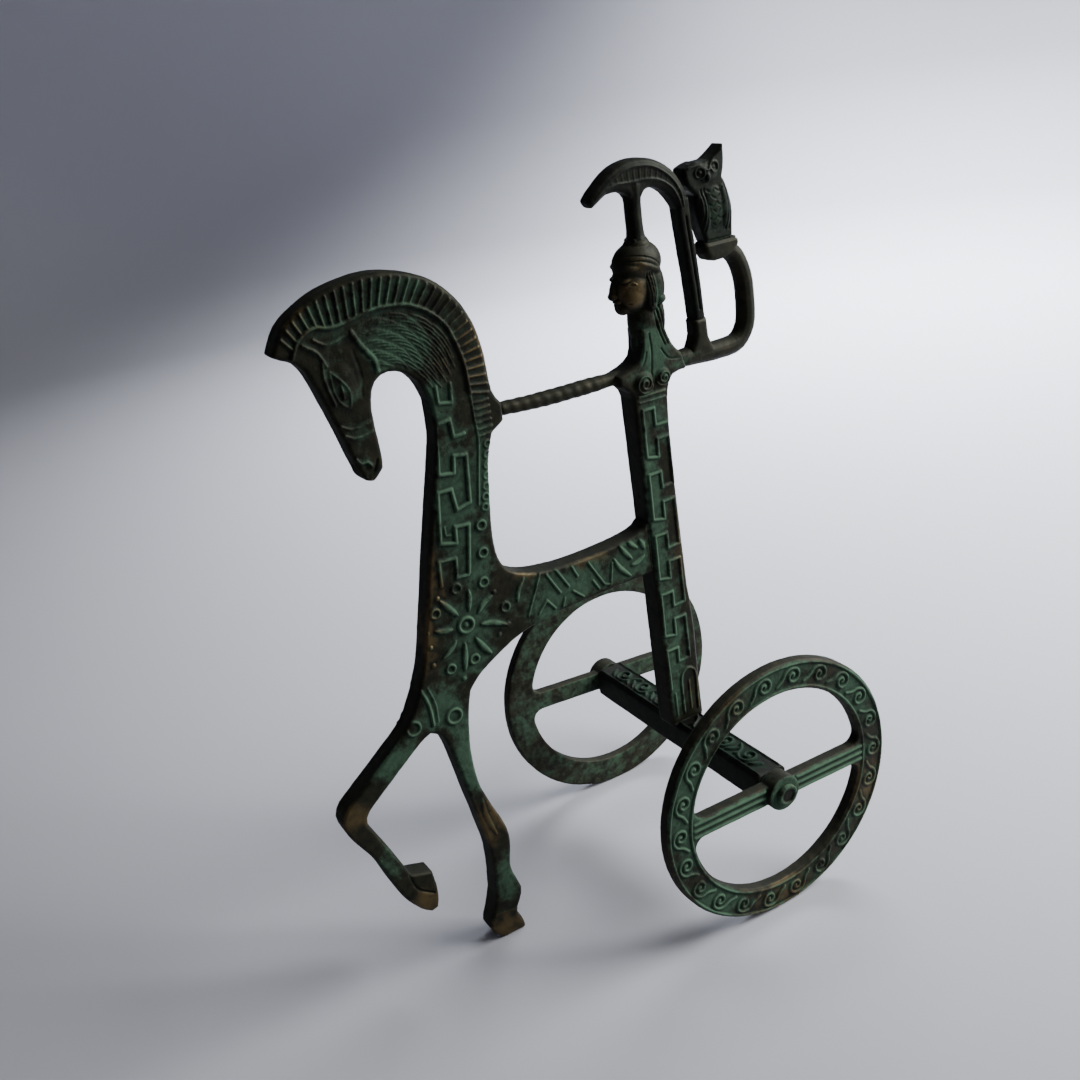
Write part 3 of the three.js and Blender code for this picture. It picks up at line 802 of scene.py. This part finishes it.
# ---------------------------------------------------------------- charioteer
@dataclass
class Charioteer(Casting):
    """The columnar figure: a helmeted head with long hair, one arm out along the rein and
    one raised, breast bosses, and a key pattern down the skirt. The face is a plain,
    calm one on the usual proportions, made for this piece."""

    neck_cut_z: float = 139.0
    arm_side_x: float = -9.5
    chin_z: float = 142.9
    brow_z: float = 151.2
    key_top_z: float = 121.0
    key_pitch: float = 15.6
    key_units: int = 4
    rein_z: float = 129.8
    rein_span: Point = (12.0, 39.4)
    rein_swell_mm: float = 0.14
    strand_mm: float = 0.05             # how high the strands of the rein stand
    strand_pitch: float = 2.6
    raised_arm_x: float = -7.0
    fist_z: float = 153.6
    raised_arm_swell_mm: float = 0.34

    def trim(self, piece: Piece) -> None:
        """Cuts the flat head off the blank at the neck, for the modelled one."""
        places = vertex_places(piece.data)

        def on_head(polygon: bpy.types.MeshPolygon) -> bool:
            """Whether a face is the head's; the raised arm is as high and stays."""
            corners = places[list(polygon.vertices)]
            return bool(corners[:, 2].max() > self.neck_cut_z * MM
                        and corners[:, 0].min() > AXLE_X + self.arm_side_x * MM)

        pick_faces(piece, on_head)
        with editing(piece, None):
            bpy.ops.mesh.bisect(plane_co=(0, 0, self.neck_cut_z * MM), plane_no=(0, 0, 1),
                                use_fill=True, clear_outer=True, threshold=SAME_PLACE)

    def face_z(self, share: float) -> float:
        """Height of a place on the face, as a share from the chin to the brow."""
        return self.chin_z + share * (self.brow_z - self.chin_z)

    def masses(self) -> list[Mass]:
        """Neck, skull, cheeks, features, helmet and hair, then the breast bosses."""
        eye, nose, lip = self.face_z(0.80), self.face_z(0.52), self.face_z(0.32)
        return [
            Mass(0.3, 0, 140.4, (3.95, 3.1, 6.5)),
            Mass(-0.1, 0, 135.6, (4.0, 2.9, 5.0)),
            # face
            Mass(2.9, 0, 148.7, (4.5, 3.8, 6.0), -2),
            Mass(3.6, 1.75, 147.0, (3.0, 2.0, 3.3)),
            Mass(5.5, 0, 144.5, (1.9, 1.8, 1.7)),
            Mass(7.5, 0, nose + 1.6, (0.95, 0.75, 2.4), -17),
            Mass(8.0, 0, nose + 0.15, (0.95, 1.0, 0.75)),
            Mass(7.0, 0, lip + 0.46, (0.7, 1.3, 0.42)),
            Mass(6.85, 0, lip - 0.42, (0.7, 1.05, 0.46)),
            Mass(5.2, 2.1, eye + 1.15, (1.6, 1.1, 0.45), 8),
            Mass(5.2, 2.35, eye, (1.1, 0.8, 0.56)),
            # helmet, close over the brow, with its slanting band and the guard that falls from it
            Mass(0.9, 0, 153.3, (5.9, 4.3, 4.8), 4),
            Mass(0.5, 0, 157.3, (2.9, 2.7, 1.6)),
            Mass(3.4, 1.4, 153.0, (3.1, 2.6, 1.0), -6),
            Mass(0.4, 2.9, 152.8, (3.9, 1.6, 0.9), -24),
            Mass(-0.1, 3.05, 147.6, (1.45, 1.1, 4.9), 3),
            Mass(-2.0, 1.3, 148.4, (2.5, 2.5, 5.2), 2),
            Mass(-2.6, 1.6, 145.0, (1.7, 2.2, 1.25)),
            Mass(-1.9, 1.2, 139.4, (2.0, 2.0, 5.8), -10),
            # breast
            Mass(4.1, 2.5, 127.2, (2.9, 1.45, 2.8)),
            Mass(-1.1, 2.5, 127.4, (2.3, 1.3, 2.3)),
        ]

    def head(self) -> list[Ridge]:
        """Lids, brow, mouth corner, hair strands and the lines of the helmet."""
        eye, lip = self.face_z(0.80), self.face_z(0.32)
        strands = [curve(0.42, -0.3, (x + 0.9, 151.6), (x + 0.3, 148), (x, 144.4))
                   for x in (0.3, -0.35, -1.05)]
        locks = [curve(0.5, -0.3, (x, 143.6), (x - 0.6, 139), (x - 2.2, 134.6))
                 for x in (-0.4, -1.3, -2.1)]
        bands = [curve(0.42, -0.24, (5.6, 154.6 + d), (2.6, 154.4 + d), (-0.6, 153.2 + d), (-2.8, 151.6 + d))
                 for d in (0.0, 1.1)]
        return [
            curve(0.42, 0.22, (3.9, eye), (4.8, eye + 0.55), (5.9, eye + 0.1)),
            curve(0.36, 0.16, (3.9, eye), (4.9, eye - 0.5), (5.9, eye + 0.1)),
            curve(0.34, -0.2, (5.2, lip), (5.9, lip + 0.04)),
            *strands, *locks, *bands,
        ]

    def key_pattern(self) -> list[Ridge]:
        """The squared key down the skirt, and the long loops at its foot."""
        top, pitch = self.key_top_z, self.key_pitch
        path: list[Point] = [(-1.1, top - 4.2), (2.2, top - 4.2), (2.2, top), (5.3, top)]
        for unit in range(self.key_units):
            z = top - unit * pitch
            path += [(5.3, z), (5.3, z - 11.3), (2.1, z - 12), (2.1, z - 7.5), (-1.2, z - 7.5),
                     (-1.4, z - 19.4), (1.9, z - 19.6), (1.9, z - pitch), (5.2, z - pitch)]
        path += [(4.9, 47.6)]
        return [
            Ridge(tuple(path), 1.1, 0.4),
            curve(0.9, 0.35, (1.5, 39.4), (1.6, 49), (0.2, 51.6), (-1.6, 51.4), (-2.8, 49), (-2.8, 39.4)),
            Ridge(((3.9, 46), (3.7, 39.6)), 0.9, 0.3),
            Ridge(((-0.6, 48), (-0.7, 40)), 0.8, 0.25),
            Ridge(((6.0, 124.3), (-1.3, 124.3)), 0.9, 0.35),
            Ridge(((5.9, 122.9), (-1.2, 122.9)), 0.6, 0.3),
        ]

    def breast(self) -> list[Ridge]:
        """Spirals on the two bosses and the folds of the shoulder."""
        return [
            Ridge(spiral(4.1, 127.2, 2.5, 200, 2.1), 0.6, 0.34),
            Ridge(spiral(-1.1, 127.4, 2.0, -20, -1.9), 0.6, 0.34),
            curve(0.6, -0.25, (1.6, 125), (1.7, 129), (1.2, 133.5), (1.4, 138)),
            curve(0.6, -0.22, (6.4, 129.8), (3.6, 131.4), (2.6, 134)),
            curve(0.6, -0.22, (-6.4, 130.6), (-3.2, 131.4), (-1.4, 134)),
        ]

    def ridges(self) -> list[Ridge]:
        """Every line on the figure."""
        return [*self.head(), *self.key_pattern(), *self.breast()]

    def carve(self, piece: Piece) -> None:
        """Fills out both arms, and twists the outstretched one like a cord along the rein."""
        places, normals = vertex_places(piece.data), vertex_normals(piece.data)
        x, z = (places[:, 0] - AXLE_X) / MM, places[:, 2] / MM
        angle = np.arctan2(places[:, 1] / MM, z - self.rein_z)
        on_rein = np.clip((x - self.rein_span[0]) / 3, 0, 1)
        twist = self.strand_mm * on_rein * np.sin(2 * math.pi * x / self.strand_pitch + angle)
        # Both arms are fuller than the bars that they start from.
        raised_arm = np.clip((self.raised_arm_x - x) / 3, 0, 1) * (z < self.fist_z)
        fuller = (self.raised_arm_swell_mm * raised_arm
                  + self.rein_swell_mm * on_rein * (x < self.rein_span[1]))
        set_places(piece.data, places + normals * (twist + fuller)[:, None] * MM)


# ---------------------------------------------------------------- helmet crest and owl
@dataclass
class HelmetCrest(Casting):
    """The bow-shaped crest on its stem, with its long tail down to the raised arm."""

    stem_x: float = 0.5
    stem_half_width: float = 1.4
    bow_under_z: float = 169.5
    flare_mm: float = 2.1
    flare_reach: float = 1.1            # how far it runs out along the bow
    fade_down: float = 4.5
    fade_up: float = 3.0

    def carve(self, piece: Piece) -> None:
        """Draws the underside of the bow down to the stem in a flare."""
        places = vertex_places(piece.data)
        x, z = (places[:, 0] - AXLE_X) / MM - self.stem_x, places[:, 2] / MM - self.bow_under_z
        beside = np.exp(-np.maximum(np.abs(x) - self.stem_half_width, 0) / self.flare_reach)
        # The pull fades out down the stem and up into the bow.
        fade = np.clip(1 + z / self.fade_down, 0, 1) * np.clip(1 - z / self.fade_up, 0, 1)
        places[:, 2] -= self.flare_mm * beside * fade * MM
        set_places(piece.data, places)

    def ridges(self) -> list[Ridge]:
        """A border line round the bow and short hairs across it."""
        outer = [(11, 168.9), (7.4, 171.6), (4.4, 173.1), (0.8, 173.8), (-3.4, 173.3), (-6.5, 171.8),
                 (-9.1, 169.6), (-11, 166.6), (-11.6, 163.4)]
        inner = [(10.4, 168.8), (8, 170.2), (5.2, 170.9), (2, 170.7), (-2.2, 170.7), (-5.6, 170),
                 (-8.6, 168), (-10.2, 165.6), (-11, 163)]
        shares = np.linspace(0.06, 0.94, 17)
        hairs = [Ridge((a, b), 0.5, 0.08) for a, b in zip(along(outer, shares), along(inner, shares))]
        tail = [curve(0.7, -0.3, (-13.9, 140), (-13.4, 147), (-12.6, 155), (-12, 161))]
        return [curve(0.7, 0.3, *outer), curve(0.6, 0.28, *inner), *hairs, *tail]


@dataclass
class Owl(Casting):
    """The small owl on the raised hand, wings folded."""

    def masses(self) -> list[Mass]:
        """Body, head, folded wings and beak."""
        return [
            Mass(-20.1, 0, 161.6, (4.5, 3.0, 7.2), 3),
            Mass(-18.2, 0, 169.3, (4.6, 2.9, 2.7), -12),
            Mass(-22.6, 1.1, 161.4, (1.9, 2.0, 6.2), 4),
            Mass(-17.2, 1.1, 161.0, (1.6, 1.9, 5.2), 6),
            Mass(-18.2, 2.75, 168.4, (0.5, 0.6, 0.9)),
        ]

    def ridges(self) -> list[Ridge]:
        """Round eyes, breast feathers in rows and long wing feathers."""
        scallops = []
        for row, z in enumerate(np.arange(157.5, 166, 1.5)):
            for aside in (-1.1, 1.1) if row % 2 else (0,):
                x = -20 + aside
                scallops.append(curve(0.45, -0.22, (x - 1, z + 0.7), (x, z), (x + 1, z + 0.7)))
        feathers = [curve(0.5, -0.25, (x, 166), (x - 0.5, 161.5), (x + 0.4, 156.4))
                    for x in (-23.9, -22.9, -17.2, -16.3)]
        eyes = ((-16.2, 169.6), (-20.3, 170.3))
        return [
            *(ring(x, z, 1.15, 0.65, 0.32) for x, z in eyes),
            *(dot(x, z, 0.9, 0.25) for x, z in eyes),
            curve(0.8, 0.3, (-13.4, 171), (-16.4, 171.2), (-18.3, 169.9), (-20.2, 172.1), (-22.8, 173.6)),
            *scallops, *feathers,
        ]


# ---------------------------------------------------------------- running gear
def wave_scroll(place: float) -> list[Point]:
    """One spiral of a running scroll, about a place in millimetres along its band, and the
    stem that feeds it, as distances along the band and heights from its middle."""
    local = [(-4.6, -1.7), (-2.9, -0.4), (-2.1, 1.1), (-0.6, 2.0), (1.2, 1.7), (2.0, 0.2), (1.3, -1.2),
             (-0.2, -1.3), (-1.0, -0.2), (-0.3, 0.8), (0.5, 0.4), (0.3, -0.1)]
    return [(place + u, v) for u, v in smooth_path(local, 0.5)]


@dataclass
class Wheel(Casting):
    """A cast wheel: rim with a running scroll between two beads, one reeded bar across."""

    scroll_radius: float = 29.35
    scroll_count: int = 22
    bead_radii: tuple[float, float] = (26.35, 32.3)
    reeds: tuple[float, ...] = (-1.75, 0.0, 1.75)

    def ridges(self) -> list[Ridge]:
        """The beads and scroll of the rim, and the reeds of the bar."""
        pitch = 2 * math.pi * self.scroll_radius / self.scroll_count
        lines = []
        for k in range(self.scroll_count):
            turned = [((self.scroll_radius + v) * math.cos(u / self.scroll_radius),
                       (self.scroll_radius + v) * math.sin(u / self.scroll_radius))
                      for u, v in wave_scroll(k * pitch)]
            lines.append(Ridge(tuple(turned), 0.95, 0.42))
        for radius in self.bead_radii:
            turns = np.linspace(0, 2 * math.pi, 97)
            lines.append(Ridge(tuple(zip(radius * np.cos(turns), radius * np.sin(turns))), 0.8, 0.38))
        for v in self.reeds:
            lines += [Ridge(((side * 4.9, v), (side * 25.4, v)), 1.25, 0.42) for side in (-1, 1)]
        return lines

    def mirrored(self, piece: Piece, other: "Wheel", turn: float) -> Piece:
        """Makes the other wheel from this one's finished piece, turned some degrees on the axle."""
        axle = Matrix.Translation((AXLE_X, 0, AXLE_Z))
        spin = Matrix.Rotation(-math.radians(turn), 4, "Y")
        twin = mirrored_copy(piece, other.name, axle @ spin @ TO_OTHER_SIDE @ axle.inverted())
        other.age(twin)
        other.dress(twin)
        return twin


@dataclass
class AxleBar(Casting):
    """The square bar between the wheels, with a scroll along its top."""

    scroll_pitch: float = 8.6

    def ridges(self) -> list[Ridge]:
        """Two beads along the top and a scroll from each wheel to the figure's foot."""
        lines = [Ridge(((-33, v), (33, v)), 0.7, 0.35) for v in (-3.1, 3.1)]
        for side in (-1, 1):
            for k in range(3):
                start = 8.5 + k * self.scroll_pitch
                scroll = [(start + (u - start) * 1.05, v * 1.15) for u, v in wave_scroll(start)]
                lines.append(Ridge(tuple((side * u, v) for u, v in scroll), 1.15, 0.65))
                lines.append(Ridge(((side * (start + 2.6), 2.2), (side * (start + 4.8), -0.4)), 1.7, 0.6,
                                   leaf=True))
                lines.append(Ridge(((side * (start - 3.4), 2.0), (side * (start - 2.2), 0.6)), 1.4, 0.5,
                                   leaf=True))
        return lines


@dataclass
class AxlePin:
    """A headed pin that holds a wheel on the bar; its head is hammered and slightly dished."""

    finish: AgedBronze
    shank_radius: float = 1.6
    head_radius: float = 2.7
    head_height: float = 1.1
    dish_depth: float = 0.45
    dish_radius: float = 1.9

    def build(self) -> Piece:
        """Turns the left pin from a short cylinder, and returns it."""
        low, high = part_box("left_axle_pin")
        head_foot = high.y - self.head_height * MM
        bpy.ops.object.select_all(action="DESELECT")
        bpy.ops.mesh.primitive_cylinder_add(
            vertices=48, radius=self.shank_radius * MM, depth=head_foot - low.y,
            location=(AXLE_X, (head_foot + low.y) / 2, AXLE_Z), rotation=(math.pi / 2, 0, 0))
        pin = bpy.context.object
        pin.name = pin.data.name = "left_axle_pin_turned"
        bpy.ops.object.transform_apply(location=True, rotation=True, scale=True)
        pick_faces(pin, lambda polygon: polygon.normal.y > 0.9)
        widen = self.head_radius / self.shank_radius
        # How far each step of the head rises, and how it widens or narrows.
        steps = ((0.0, widen), (0.75 * self.head_height, 1.0), (0.25 * self.head_height, 0.9),
                 (0.0, 0.78), (-self.dish_depth, 0.8), (0.1, 0.4))
        with editing(pin, None):
            for rise, scale in steps:
                bpy.ops.mesh.extrude_region_move(TRANSFORM_OT_translate={"value": (0, rise * MM, 0)})
                bpy.ops.transform.resize(value=(scale, 1, scale))
            bpy.ops.mesh.select_all(action="SELECT")
            bpy.ops.mesh.remove_doubles(threshold=5 * SAME_PLACE)
            bpy.ops.mesh.normals_make_consistent(inside=False)
        apply_modifier(pin, "BEVEL", width=0.18 * MM, segments=2, limit_method="ANGLE",
                       angle_limit=math.radians(40))
        apply_modifier(pin, "REMESH", mode="VOXEL", voxel_size=SMALL_SKIN_MM * MM * COARSE)
        roughen(pin, "pin_hammer", 0.9, 0.1)
        return pin

    def dress(self, pin: Piece, node: str) -> None:
        """Ages one pin, gives it its finish and hangs it on the statue in place of its node."""
        fine = standing_out(pin.data, NEAR + 2)
        places = vertex_places(pin.data)
        from_axis = np.hypot(places[:, 0] - AXLE_X, places[:, 2] - AXLE_Z) / MM
        centre = np.clip((self.dish_radius - from_axis) / 0.4, 0, 1)
        # The dish is marked hollow, which paints shade into it; the rest of the head is marked half raised,
        # which paints it paler as highlight.
        write_marks(pin.data, {
            Mark.RAISED: 0.5 * (1 - centre),
            Mark.HOLLOW: np.clip(-fine / SMALL_GROOVE_MM, 0, 1) * 0.5 + 0.7 * centre,
            Mark.CREST: np.clip(fine / SMALL_EDGE_MM, 0, 1),
            Mark.GREEN: 0.8 * (1 - centre),
        })
        give_finish(pin, self.finish)
        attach(pin, "statue")
        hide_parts(node)

    def pair(self) -> None:
        """Makes the left pin and its mirrored twin."""
        left = self.build()
        right = mirrored_copy(left, "right_axle_pin_turned", TO_OTHER_SIDE)
        self.dress(left, "left_axle_pin")
        self.dress(right, "right_axle_pin")


@dataclass
class BrazedSeam:
    """Braze that fills the gap between two castings and stands a little proud of it."""

    name: str
    x: float
    z: float
    size: tuple[float, float, float]
    slot: str
    finish: AgedBronze
    round_mm: float = 0.45

    def build(self) -> None:
        """Models the seam from a block, rounds and roughens it, and dresses it."""
        bpy.ops.object.select_all(action="DESELECT")
        bpy.ops.mesh.primitive_cube_add(
            size=MM, location=(AXLE_X + self.x * MM, 0, self.z * MM), scale=self.size)
        seam = bpy.context.object
        seam.name = seam.data.name = self.name
        bpy.ops.object.transform_apply(location=True, rotation=True, scale=True)
        with editing(seam):
            bpy.ops.mesh.bevel(offset=min(self.round_mm, min(self.size) * 0.45) * MM, segments=3)
            bpy.ops.mesh.select_all(action="SELECT")
            bpy.ops.mesh.subdivide(number_cuts=2)
        apply_modifier(seam, "REMESH", mode="VOXEL", voxel_size=SMALL_SKIN_MM * MM * COARSE)
        apply_modifier(seam, "SMOOTH", factor=0.5, iterations=3)
        roughen(seam, f"{self.name}_lumps", 1.1, 0.3)
        fine = standing_out(seam.data, NEAR)
        # The hollow mark paints shade into the seam's grooves and a little over the whole seam.
        write_marks(seam.data, {
            Mark.HOLLOW: np.clip(-fine / SMALL_GROOVE_MM, 0, 1) * 0.6 + 0.2,
            Mark.GREEN: 0 * fine + 0.35,
        })
        give_finish(seam, self.finish)
        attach(seam, "statue")


# ---------------------------------------------------------------- studio
@dataclass(frozen=True)
class Window:
    """A soft square light, in metres; its beam's spread is in degrees."""

    name: str
    place: tuple[float, float, float]
    aim: tuple[float, float, float]
    size: float
    watts: float
    spread: float
    colour: str


@dataclass
class Studio:
    """A pale sweep of paper, soft window light from one side, and the camera."""

    paper: str = "#b1b1ba"
    flat_radius: float = 0.75
    sweep: tuple[tuple[float, float], ...] = ((1.12, 0.03), (1.12, 0.10), (1.1, 0.22), (1.06, 0.5),
                                              (1.03, 0.9))
    camera_place: tuple[float, float, float] = (0.1213, 0.2200, 0.2049)
    camera_right: tuple[float, float, float] = (-0.8476, 0.5148, -0.1288)
    camera_up: tuple[float, float, float] = (-0.3077, -0.2789, 0.9097)
    camera_back: tuple[float, float, float] = (0.4324, 0.8107, 0.3948)
    lens_mm: float = 40.09
    sensor_mm: float = 36.0
    windows: tuple[Window, ...] = (
        Window("window", (-0.44, 0.19, 0.31), (-0.16, 0.0, 0.06), 0.32, 1.95, 92, "#fdfffb"),
        Window("far_window", (-0.62, -0.42, 0.55), (-0.50, -0.34, 0.0), 0.5, 10.5, 75, "#f7fcff"),
    )
    sky: str = "#cdcdca"
    sky_strength: float = 0.42

    def floor(self) -> None:
        """Makes the paper: a flat disc that sweeps up all round."""
        bpy.ops.object.select_all(action="DESELECT")
        bpy.ops.mesh.primitive_circle_add(vertices=96, radius=self.flat_radius, fill_type="NGON")
        paper = bpy.context.object
        paper.name = "paper_sweep"
        with editing(paper):
            bpy.ops.mesh.select_mode(type="EDGE")
            bpy.ops.mesh.region_to_loop()
            for scale, rise in self.sweep:
                bpy.ops.mesh.extrude_region_move(TRANSFORM_OT_translate={"value": (0, 0, rise)})
                bpy.ops.transform.resize(value=(scale, scale, 1))
        bpy.ops.object.shade_smooth()
        material = bpy.data.materials.new("matt_paper")
        material.use_nodes = True
        tree = material.node_tree
        tree.nodes.clear()
        place = add_node(tree, "TexCoord").outputs["Object"]
        fibre = add_node(tree, "TexNoise", {"Scale": 1 / (0.8 * MM), "Detail": 3.0},
                         {"Vector": place})
        bump = add_node(tree, "Bump", {"Strength": 0.08, "Distance": 0.05 * MM},
                        {"Height": fibre.outputs["Fac"]})
        shader = add_node(tree, "BsdfPrincipled",
                          {"Base Color": linear(self.paper), "Roughness": 0.9},
                          {"Normal": bump.outputs["Normal"]})
        add_node(tree, "OutputMaterial", {}, {"Surface": shader.outputs[0]})
        paper.data.materials.append(material)

    def light(self, lamp: Window) -> None:
        """Hangs one soft square light and aims it."""
        data = bpy.data.lights.new(lamp.name, "AREA")
        data.size, data.energy, data.spread = lamp.size, lamp.watts, math.radians(lamp.spread)
        data.color = linear(lamp.colour)[:3]
        hung = bpy.data.objects.new(lamp.name, data)
        bpy.context.scene.collection.objects.link(hung)
        hung.location = lamp.place
        aim = Vector(lamp.aim) - Vector(lamp.place)
        hung.rotation_euler = aim.to_track_quat("-Z", "Y").to_euler()

    def camera(self) -> None:
        """Stands the camera in front of the left wheel, a little above the horse's back."""
        data = bpy.data.cameras.new("camera")
        data.lens, data.sensor_width = self.lens_mm, self.sensor_mm
        data.clip_start, data.clip_end = 0.01, 10.0
        camera = bpy.data.objects.new("camera", data)
        bpy.context.scene.collection.objects.link(camera)
        turn = Matrix((self.camera_right, self.camera_up, self.camera_back)).transposed().to_4x4()
        camera.matrix_world = Matrix.Translation(self.camera_place) @ turn
        bpy.context.scene.camera = camera

    def build(self) -> None:
        """Sets up floor, lights, sky and camera."""
        self.floor()
        for lamp in self.windows:
            self.light(lamp)
        self.camera()
        world = bpy.data.worlds.new("room_light")
        bpy.context.scene.world = world
        world.use_nodes = True
        sky = world.node_tree.nodes["Background"].inputs
        sky["Color"].default_value = linear(self.sky)
        sky["Strength"].default_value = self.sky_strength


# ---------------------------------------------------------------- the statuette
HORSE_GREEN = patches(
    (66, 68, 7, 7), (62, 54, 5, 13), (81, 61, 8, 6, 0.85), (57, 17, 4, 9, 0.85), (85, 37, 5, 8, 0.65),
    (46.5, 117, 3.5, 10), (56, 136, 5, 5, 0.9), (60, 149, 8, 6, 0.75), (55, 118, 7, 18, 0.75),
    (52, 97, 5, 6, 0.7), (56, 86, 7, 7, 0.8), (13, 86, 7, 6, 0.85), (37, 81, 6, 4, 0.8),
    (58, 76, 7, 5, 0.7), (66, 150, 4, 5, 0.6), (73, 142, 5, 14, 0.48), (66, 161, 20, 5, 0.35),
    (53, 104, 8, 9, 0.45), (30, 85, 18, 7, 0.78)
)
HORSE_RUBBED = patches(
    (66.5, 88, 3.5, 12, 0.85), (62, 97, 3, 9, 0.7), (79, 159, 6, 4, 0.5), (45, 145, 3.5, 8, 0.75),
    (91, 51, 4, 4, 0.8), (60, 34, 4.5, 8, 0.85), (60, 3, 5, 4, 0.8), (79, 21, 4, 4, 0.85),
    (24, 89, 7, 2.2, 0.75), (28, 85, 6, 4, 0.4), (52, 144, 4, 4, 0.4), (41, 92, 5, 3, 0.5)
)
FIGURE_GREEN = patches(
    (4.5, 100, 3.5, 24, 0.85), (3, 62, 4, 18, 0.8), (1, 134, 5, 7, 0.95), (3, 139, 3, 4, 0.5),
    (5, 129, 4, 2.5, 0.5), (-1.5, 145, 1.5, 5, 0.8), (-8, 129, 6, 2.5, 0.55), (2, 118, 4, 8, 0.6),
    (4, 45, 2, 6, 0.7)
)
FIGURE_RUBBED = patches(
    (4.9, 147.5, 3.2, 3.8, 1.1), (-1, 84, 3, 9, 0.6), (-1.5, 45, 3, 8, 0.6), (1, 126, 4, 4, 0.45),
    (3.5, 154, 3, 3, 0.5)
)
WHEEL_GREEN = patches(
    (27, 8, 8, 20, 0.85), (0, 29, 14, 6, 0.7), (-24, 20, 8, 10, 0.75), (14, 0, 14, 4, 0.95),
    (-14, 0, 14, 4, 0.85), (20, -22, 8, 8, 0.9), (0, 0, 7, 7, 1.1), (0, 0, 60, 60, 0.3)
)
WHEEL_RUBBED = patches(
    (-28, -10, 8, 12, 0.8), (0, -29, 12, 5, 0.8), (12, 27, 7, 6, 0.55), (30, -2, 4, 8, 0.45)
)
FAR_WHEEL_GREEN = patches(
    (0, 0, 60, 60, 0.62), (-20, 18, 14, 10, 0.5), (10, 0, 16, 4, 0.6), (-12, 0, 14, 4, 0.6)
)
FAR_WHEEL_RUBBED = patches(
    (24, -14, 10, 12, 0.35), (0, -29, 12, 5, 0.4), (10, 26, 9, 7, 0.35)
)


def main() -> None:
    """Builds every piece in order and the studio round them."""
    logging.basicConfig(level=logging.INFO, format="%(name)s %(message)s")
    horse_skin = AgedBronze("sand_cast_bronze_verdigris")
    figure_skin = AgedBronze("sand_cast_bronze_green_skirt", green_share=0.02)
    dark_skin = AgedBronze("sand_cast_bronze_near_black", dark="#0d100c", brown="#1c1e16",
                           green_share=-0.18, rubbed_share=-0.12)
    owl_skin = AgedBronze("sand_cast_bronze_dull_green", dark="#0e120d", brown="#1c2118",
                          deep_green="#16251b", pale_green="#2a3f2f", green_share=0.04, rubbed_share=-0.16)
    axle_skin = AgedBronze("cast_bronze_bar_dark", dark="#0f110e", brown="#1d1e18", deep_green="#17271e",
                           pale_green="#30463a", green_share=0.0, rubbed_share=-0.1)
    wheel_skin = AgedBronze("cast_bronze_wheel_verdigris", brown="#353023")
    pin_skin = AgedBronze("hammered_bronze_pin", green_share=-0.16, roughness=0.42)

    Horse("horse_casting", "horse", "statue", "horse_bronze", horse_skin, skin_mm=0.21,
          most_triangles=192_000, green=HORSE_GREEN, rubbed=HORSE_RUBBED).build()
    Charioteer("charioteer_casting", "charioteer", "statue", "charioteer_bronze", figure_skin, skin_mm=0.18,
               most_triangles=180_000, wobble_mm=0.16, swell_mm=0.14, green=FIGURE_GREEN,
               rubbed=FIGURE_RUBBED).build()
    HelmetCrest("crest_casting", "helmet_crest", "statue", "dark_bronze", dark_skin, skin_mm=0.18,
                most_triangles=60_000, swell_mm=0.42,
                green=patches((-10, 165, 4, 6, 0.4), (-14, 142, 3, 8, 0.5))).build()
    Owl("owl_casting", "owl", "statue", "owl_bronze", owl_skin, skin_mm=0.18, most_triangles=60_000,
        plate=False, green=patches((-20, 160, 5, 7, 0.55))).build()
    axle_top = CastFace(1, 0, 2, 1.0, (AXLE_X, 0.0, AXLE_Z))
    AxleBar("axle_bar_casting", "axle_bar", "statue", "axle_bronze", axle_skin, skin_mm=0.2,
            most_triangles=60_000, faces=(axle_top,),
            green=patches((22, 0, 10, 4, 0.8), (-20, 0, 12, 4, 0.45))).build()

    hub = (AXLE_X, 0.0, AXLE_Z)
    left = Wheel("left_wheel_casting", "left_wheel", "left_wheel", "wheel_bronze", wheel_skin, skin_mm=0.21,
                 most_triangles=150_000, wobble_mm=0.14, swell_mm=0.04,
                 faces=(CastFace(0, 2, 1, 1.0, hub, 2.0),), green=WHEEL_GREEN, rubbed=WHEEL_RUBBED)
    right = Wheel("right_wheel_casting", "right_wheel", "right_wheel", "wheel_bronze", wheel_skin,
                  faces=(CastFace(0, 2, 1, -1.0, hub, 5.0),), green=FAR_WHEEL_GREEN,
                  rubbed=FAR_WHEEL_RUBBED)
    left.mirrored(left.build(), right, 3.0)
    AxlePin(pin_skin).pair()

    for seam in (
        BrazedSeam("braze_rump", 6.47, 87.2, (1.1, 5.3, 12.6), "horse_bronze", horse_skin),
        BrazedSeam("braze_rein", 40.05, 130.3, (1.2, 2.9, 3.1), "horse_bronze", horse_skin, round_mm=1.2),
        BrazedSeam("braze_crest_stem", 0.5, 158.2, (4.1, 4.1, 1.6), "dark_bronze", dark_skin, round_mm=1.5),
        BrazedSeam("braze_crest_tail", -14.0, 137.55, (3.0, 3.4, 0.8), "dark_bronze", dark_skin),
        BrazedSeam("braze_owl", -20.9, 154.35, (7.3, 4.0, 0.8), "owl_bronze", owl_skin),
        BrazedSeam("braze_axle", 0.6, 36.95, (9.5, 6.0, 0.9), "axle_bronze", axle_skin),
    ):
        seam.build()

    Studio().build()


if __name__ == "__main__":
    main()
